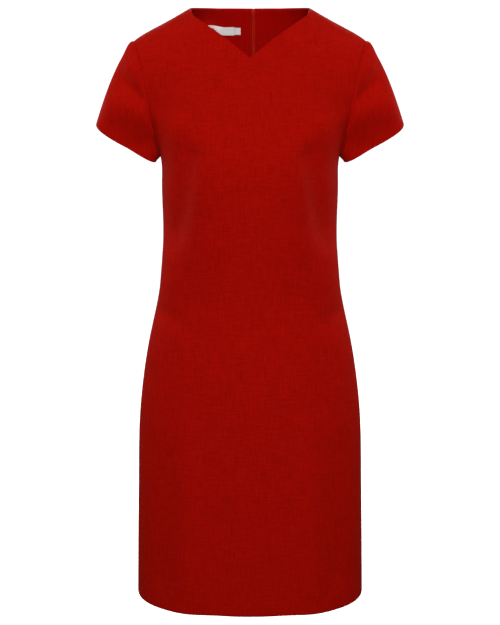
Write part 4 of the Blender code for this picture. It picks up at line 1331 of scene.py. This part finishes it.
@dataclass
class NeckFacing:
    """The facing of one half of the back neck, understitched below its rolled edge."""

    side: Side
    body: Body
    cloth: Cloth
    material: bpy.types.Material
    thread: bpy.types.Material
    wall: float = 1.5 * MM
    thickness_in_solid: float = 1.0 * MM
    over_tape: float = 1.4 * MM
    over_panel: float = 0.3 * MM
    start: float = 5.5 * MM
    tape_end: float = 13.6 * MM
    panel_start: float = 16.8 * MM
    rows: int = 21
    last_column: int = 55
    roll: float = 0.8 * MM
    columns: int = 60
    neck_seam: Edge = Edge(5 * MM)
    zip_seam: Edge = Edge(6 * MM)
    understitch_down: float = 4.0 * MM
    overlock_up: float = 1.6 * MM
    thread_lift: float = 0.2

    def build(self) -> None:
        """Build the facing and its sewing."""
        name = "back_facing_" + self.side.name.lower()
        values = []
        for row in self.body.back(self.side).values[-self.rows:]:
            length = lengths_along(row[:, :3])
            places = np.linspace(self.start, length[self.last_column], self.columns + 1)
            line = read_along(row, places, length)
            lift = self.over_tape + (self.over_panel - self.over_tape) * fade(places, self.tape_end,
                                                                            self.panel_start)
            depth = self.wall + lift + self.thickness_in_solid
            line[:, :3] += line[:, 3:6] * depth[:, None]
            values.append(line)
        values = np.array(values)
        values[-1, :, :3] += unit(values[-2, :, :3] - values[-1, :, :3]) * self.roll
        values[..., 3:6] *= -1
        self.field = ClothField(values)
        edges = Edges(high=self.neck_seam, first=self.zip_seam)
        self.piece = Shell(f"{name}_cloth", self.cloth, edges, self.material).build(self.field)
        self.sewing = [self.sewn_row(f"understitch_{self.side.name.lower()}", TOPSTITCH,
                                     self.understitch_down, from_top=True),
                       self.sewn_row(f"facing_overlock_{self.side.name.lower()}", OVERLOCK,
                                     self.overlock_up, from_top=False)]

    def sewn_row(self, name: str, stitch: PathRepeat, distance: float, from_top: bool) -> bpy.types.Object:
        """Sew a row along the facing.

        Args:
            name: the row's name.
            stitch: the kind of sewing.
            distance: how far from the edge it runs.
            from_top: whether that is the upper edge.

        Returns:
            The row of stitches.
        """
        path, outward = self.field.line(distance, from_top)
        return stitch.row(name, path + outward * stitch.height * self.thread_lift, outward, self.thread)

    def dress(self) -> None:
        """Set the facing in the place of its solid."""
        finish_piece(self.piece, ["back_facing_" + self.side.name.lower()])
        for row in self.sewing:
            finish_piece(row)


@dataclass
class Zip:
    """The zip at the centre back: two tapes, the coil, the slider and its pull.

    A loop's length is given in pitches, its height in thicknesses and the thread's lift in millimetres.
    """

    body: Body
    tape_cloth: Cloth
    tape_material: bpy.types.Material
    coil_material: bpy.types.Material
    enamel: bpy.types.Material
    thread: bpy.types.Material
    wall: float = 1.5 * MM
    gap: float = 0.3 * MM
    coil_half_width: float = 2.5 * MM
    coil_thickness: float = 1.6 * MM
    coil_pitch: float = 1.3 * MM
    tape_width: float = 10.0 * MM
    tape_thickness: float = 0.8 * MM
    top_below_neck: float = 2.0 * MM
    slider_height: float = 9.0 * MM
    bottom_height: float = -0.4900
    tape_columns: int = 7
    stitched_column: int = 4
    thread_lift: float = 0.06
    coil_from_bottom: float = 4 * MM
    coil_points: int = 400
    loop_pitches: float = 1.55
    loop_thicknesses: float = 2.2
    loop_unevenness: float = 0.01

    def tape_field(self, side: Side) -> ClothField:
        """Return a tape's field, its right side facing the inside of the dress."""
        panel = self.body.back(side)
        bottom = int(np.searchsorted(panel.points[:, 0, 2], self.bottom_height))
        start = self.coil_half_width + self.gap
        strip = ClothField(panel.values[bottom:]).at_distances(
            np.linspace(start, start + self.tape_width, self.tape_columns))
        strip = strip.lifted(self.wall + self.gap + self.tape_thickness, flip=True)
        top = unit(strip.values[-2, :, :3] - strip.values[-1, :, :3]) * self.top_below_neck
        strip.values[-1, :, :3] += top
        return strip

    def coil_line(self) -> tuple[np.ndarray, np.ndarray]:
        """Return the coil's middle line, from its bottom to the slider, and its outward directions."""
        left, right = self.body.back(Side.LEFT), self.body.back(Side.RIGHT)
        line = (left.points[:, 0] + right.points[:, 0]) / 2
        outward = -unit(left.inward[:, 0] + right.inward[:, 0])
        keep = line[:, 2] >= self.bottom_height
        line, outward = line[keep], outward[keep]
        length = lengths_along(line)
        end = length[-1] - self.top_below_neck - self.slider_height - self.gap
        places = np.linspace(self.coil_from_bottom, end - self.coil_pitch / 2, self.coil_points)
        line = read_along(line, places, length)
        outward = unit(read_along(outward, places, length))
        return line - outward * (self.wall + self.gap + self.coil_thickness / 2), outward

    def build(self) -> None:
        """Build the tapes and the coil."""
        self.tapes = {}
        self.rows = {}
        for side in Side:
            name = side.name.lower()
            tape = self.tape_field(side)
            self.tapes[name] = Shell(f"zip_tape_{name}_cloth", self.tape_cloth, Edges(),
                                     self.tape_material).build(tape)
            outward = -unit(tape.inward[:, self.stitched_column])
            path = tape.points[:, self.stitched_column] + outward * self.thread_lift * MM
            self.rows[name] = TOPSTITCH.row(f"tape_stitches_{name}", path, outward, self.thread)
        line, outward = self.coil_line()
        loops = PathRepeat(Repeat.COIL_LOOP, self.coil_pitch, self.loop_pitches * self.coil_pitch,
                           2 * self.coil_half_width, self.loop_thicknesses * self.coil_thickness,
                           self.loop_unevenness)
        self.coil = loops.row("zip_coil_loops", line, outward, self.coil_material)

    def dress(self) -> None:
        """Set the zip's pieces in the places of their solids."""
        for side in Side:
            name = side.name.lower()
            finish_piece(self.tapes[name], [f"zip_tape_{name}"])
            finish_piece(self.rows[name])
        finish_piece(self.coil, ["zip_coil"])
        for node in ("zip_slider", "zip_pull"):
            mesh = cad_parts[node].data
            mesh.materials.clear()
            mesh.materials.append(self.enamel)
            log.info("%s: kept, in %s", node, self.enamel.name)


@dataclass
class NeckLabel:
    """The bare woven label and the small size tab beside it, sewn to the left facing.

    The columns are those that are stitched, and the thread's lift is in millimetres.
    """

    facing: NeckFacing
    cloth: Cloth
    material: bpy.types.Material
    thread: bpy.types.Material
    left_x: float = -0.0760
    right_x: float = -0.0255
    tab_right_x: float = -0.0155
    top: float = -0.0090
    height: float = 13.5 * MM
    tab_height: float = 11.5 * MM
    curled_from_x: float = -0.0400
    curled_to_x: float = -0.0640
    curl: float = math.radians(78)
    end_lift: float = 4.0 * MM
    gap: float = 0.3 * MM
    thickness_in_solid: float = 0.8 * MM
    columns_per_mm: float = 0.8
    rows: int = 9
    left_column: int = 2
    right_column: int = -3
    thread_lift: float = 0.05

    def strip(self, tree: BVHTree, left_x: float, right_x: float, top: float,
              height: float) -> ClothField:
        """Return a strip that lies on the facing.

        Args:
            tree: the facing's faces.
            left_x: its left end.
            right_x: its right end.
            top: the height of its upper edge.
            height: its width.

        Returns:
            Its field, the right side facing the front.
        """
        count = int((right_x - left_x) / MM * self.columns_per_mm) + 2
        columns = []
        for x in np.linspace(left_x, right_x, count):
            loose = float(fade(self.curled_from_x - x, 0.0, self.curled_from_x - self.curled_to_x))
            angle = self.curl * loose
            lift = self.end_lift * loose
            column = []
            for down in np.linspace(height, 0.0, self.rows):
                start = Vector((x, 0.0, top + lift - down * math.cos(angle)))
                place, normal, _, _ = tree.ray_cast(start, Vector((0.0, 1.0, 0.0)))
                off = self.gap + self.thickness_in_solid
                point = np.array(place) + np.array(normal) * off
                point[1] -= down * math.sin(angle)
                into = np.array(normal) * -math.cos(angle) - np.array((0.0, 0.0, math.sin(angle)))
                column.append(np.concatenate((point, unit(into))))
            columns.append(column)
        values = np.array(columns).swapaxes(0, 1)
        return ClothField.measured(values[..., :3], values[..., 3:], 0)

    def build(self) -> None:
        """Build the label, the tab and the stitches at their ends."""
        mesh = self.facing.piece.data
        tree = BVHTree.FromPolygons([vertex.co for vertex in mesh.vertices],
                                    [tuple(polygon.vertices) for polygon in mesh.polygons])
        label = self.strip(tree, self.left_x, self.right_x, self.top, self.height)
        drop = (self.height - self.tab_height) / 2
        tab = self.strip(tree, self.right_x + self.gap, self.tab_right_x, self.top - drop, self.tab_height)
        self.label = Shell("neck_label_ribbon", self.cloth, Edges(), self.material).build(label)
        self.tab = Shell("size_tab_ribbon", self.cloth, Edges(), self.material).build(tab)
        self.stitches = []
        for name, strip, column in (("label_stitches_left", label, self.left_column),
                                    ("label_stitches_right", label, self.right_column),
                                    ("tab_stitches", tab, self.right_column)):
            outward = -strip.inward[:, column]
            path = strip.points[:, column] + outward * self.thread_lift * MM
            self.stitches.append(TOPSTITCH.row(name, path, outward, self.thread))

    def dress(self) -> None:
        """Set the label and the tab in the places of their solids."""
        finish_piece(self.label, ["neck_label"])
        finish_piece(self.tab, ["size_tab"])
        for row in self.stitches:
            finish_piece(row)


# Studio

@dataclass(frozen=True)
class SoftLight:
    """A softbox: where it stands, what it points at, its size and its power."""

    name: str
    place: tuple[float, float, float]
    power: float
    size: float = 1.2
    target: tuple[float, float, float] = (0.0, 0.0, -0.35)

    def build(self) -> None:
        """Add the light."""
        data = bpy.data.lights.new(self.name, "AREA")
        data.shape = "SQUARE"
        data.size = self.size
        data.energy = self.power
        light = link_object(self.name, data)
        light.location = self.place
        light.visible_camera = False
        light.rotation_euler = (Vector(self.target) - Vector(self.place)).to_track_quat("-Z", "Y").to_euler()


@dataclass
class Studio:
    """The camera at the photograph's angle, soft lights and a pale floor."""

    aim: tuple[float, float, float] = (0.0, 0.0, -0.47416)
    pitch: float = math.radians(14.5)
    distance: float = 2.61
    lens: float = 90.0
    sensor: float = 36.0
    floor_height: float = -1.42
    floor_half: float = 60.0
    ambient: float = 0.227
    # The edge lights stand high at the sides and the rim lights low: together they shade the sides softly.
    lights: tuple[SoftLight, ...] = (
        SoftLight("front_softbox", (0.0, -2.6, 0.9), 51.5),
        SoftLight("front_fill", (0.0, -1.5, 0.05), 4.0),
        SoftLight("left_edge_light", (-0.66, 0.08, 0.38), 2.2, 0.35),
        SoftLight("right_edge_light", (0.66, 0.08, 0.38), 2.2, 0.35),
        SoftLight("left_rim_light", (-0.60, 0.24, -0.28), 1.3, 0.30),
        SoftLight("right_rim_light", (0.60, 0.24, -0.28), 1.3, 0.30),
        SoftLight("back_softbox", (0.0, 2.6, 0.9), 51.5),
        SoftLight("back_fill", (0.0, 1.5, 0.05), 4.0),
    )

    def build(self) -> None:
        """Set up the studio."""
        scene = bpy.context.scene
        # The standard view keeps the cloth's strong red, which a filmic one would bleach.
        scene.view_settings.view_transform = "Standard"
        data = bpy.data.cameras.new("camera")
        data.lens = self.lens
        data.sensor_width = self.sensor
        camera = link_object("camera", data)
        back = Vector((0.0, -math.cos(self.pitch), math.sin(self.pitch)))
        camera.location = Vector(self.aim) + back * self.distance
        camera.rotation_mode = "QUATERNION"
        camera.rotation_quaternion = (-back).to_track_quat("-Z", "Y")
        scene.camera = camera
        for light in self.lights:
            light.build()
        self.build_world()
        self.build_floor()

    def build_world(self) -> None:
        """Light the studio from all round with a dim pale surround that is seen as white."""
        world = bpy.data.worlds.new("pale_surround")
        world.use_nodes = True
        tree = world.node_tree
        seen = add_node(tree, "ShaderNodeLightPath")
        strength = add_node(tree, "ShaderNodeMapRange", {},
                            {"Value": seen.outputs["Is Camera Ray"], "To Min": self.ambient, "To Max": 1.0})
        background = tree.nodes["Background"]
        background.inputs["Color"].default_value = linear("#ffffff")
        tree.links.new(strength.outputs["Result"], background.inputs["Strength"])
        bpy.context.scene.world = world

    def build_floor(self) -> None:
        """Lay the pale floor, which gives the camera a white ground and the dress no light."""
        half = self.floor_half
        corners = np.array([(-half, -half, self.floor_height), (half, -half, self.floor_height),
                            (half, half, self.floor_height), (-half, half, self.floor_height)])
        material = new_material("pale_floor", {"Base Color": linear("#f2f2f2"),
                                               "Emission Color": linear("#ffffff"),
                                               "Emission Strength": 1.0})
        floor = new_piece("studio_floor", corners, np.array([(0, 1, 2, 3)]), material)
        floor.visible_diffuse = False
        floor.visible_glossy = False


def main() -> None:
    """Build the dress, piece by piece, and its studio."""
    logging.basicConfig(level=logging.INFO, format="%(name)s %(message)s")
    suiting = SUITING.material()
    # The facing's colours are painted lighter than the suiting's: painted light inside the back neck.
    facing_finish_painted_lighter = FACING_SUITING_PAINTED_LIGHTER.material()
    thread = THREAD.material()
    ribbon = SATIN_RIBBON.material()
    outer_cloth = Cloth(0.75 * MM, 0.87 * MM)
    facing_cloth = Cloth(0.45 * MM, 0.50 * MM)
    tape_cloth = Cloth(0.60 * MM, 0.60 * MM)
    ribbon_cloth = Cloth(0.35 * MM, 0.35 * MM)
    body = Body(PanelCut(DressForm()), outer_cloth, suiting, thread)
    body.build()
    sleeves = [Sleeve(side, body, outer_cloth, suiting) for side in Side]
    facings = [NeckFacing(side, body, facing_cloth, facing_finish_painted_lighter, thread) for side in Side]
    zip_closure = Zip(body, tape_cloth, ZIP_TAPE.material(), DYED_NYLON.material(), ENAMEL.material(),
                      thread)
    label = NeckLabel(facings[0], ribbon_cloth, ribbon, WHITE_THREAD.material())
    parts = [*sleeves, *facings, zip_closure, label]
    for part in parts:
        part.build()
    for part in [body, *parts]:
        part.dress()
    Studio().build()


if __name__ == "__main__":
    main()
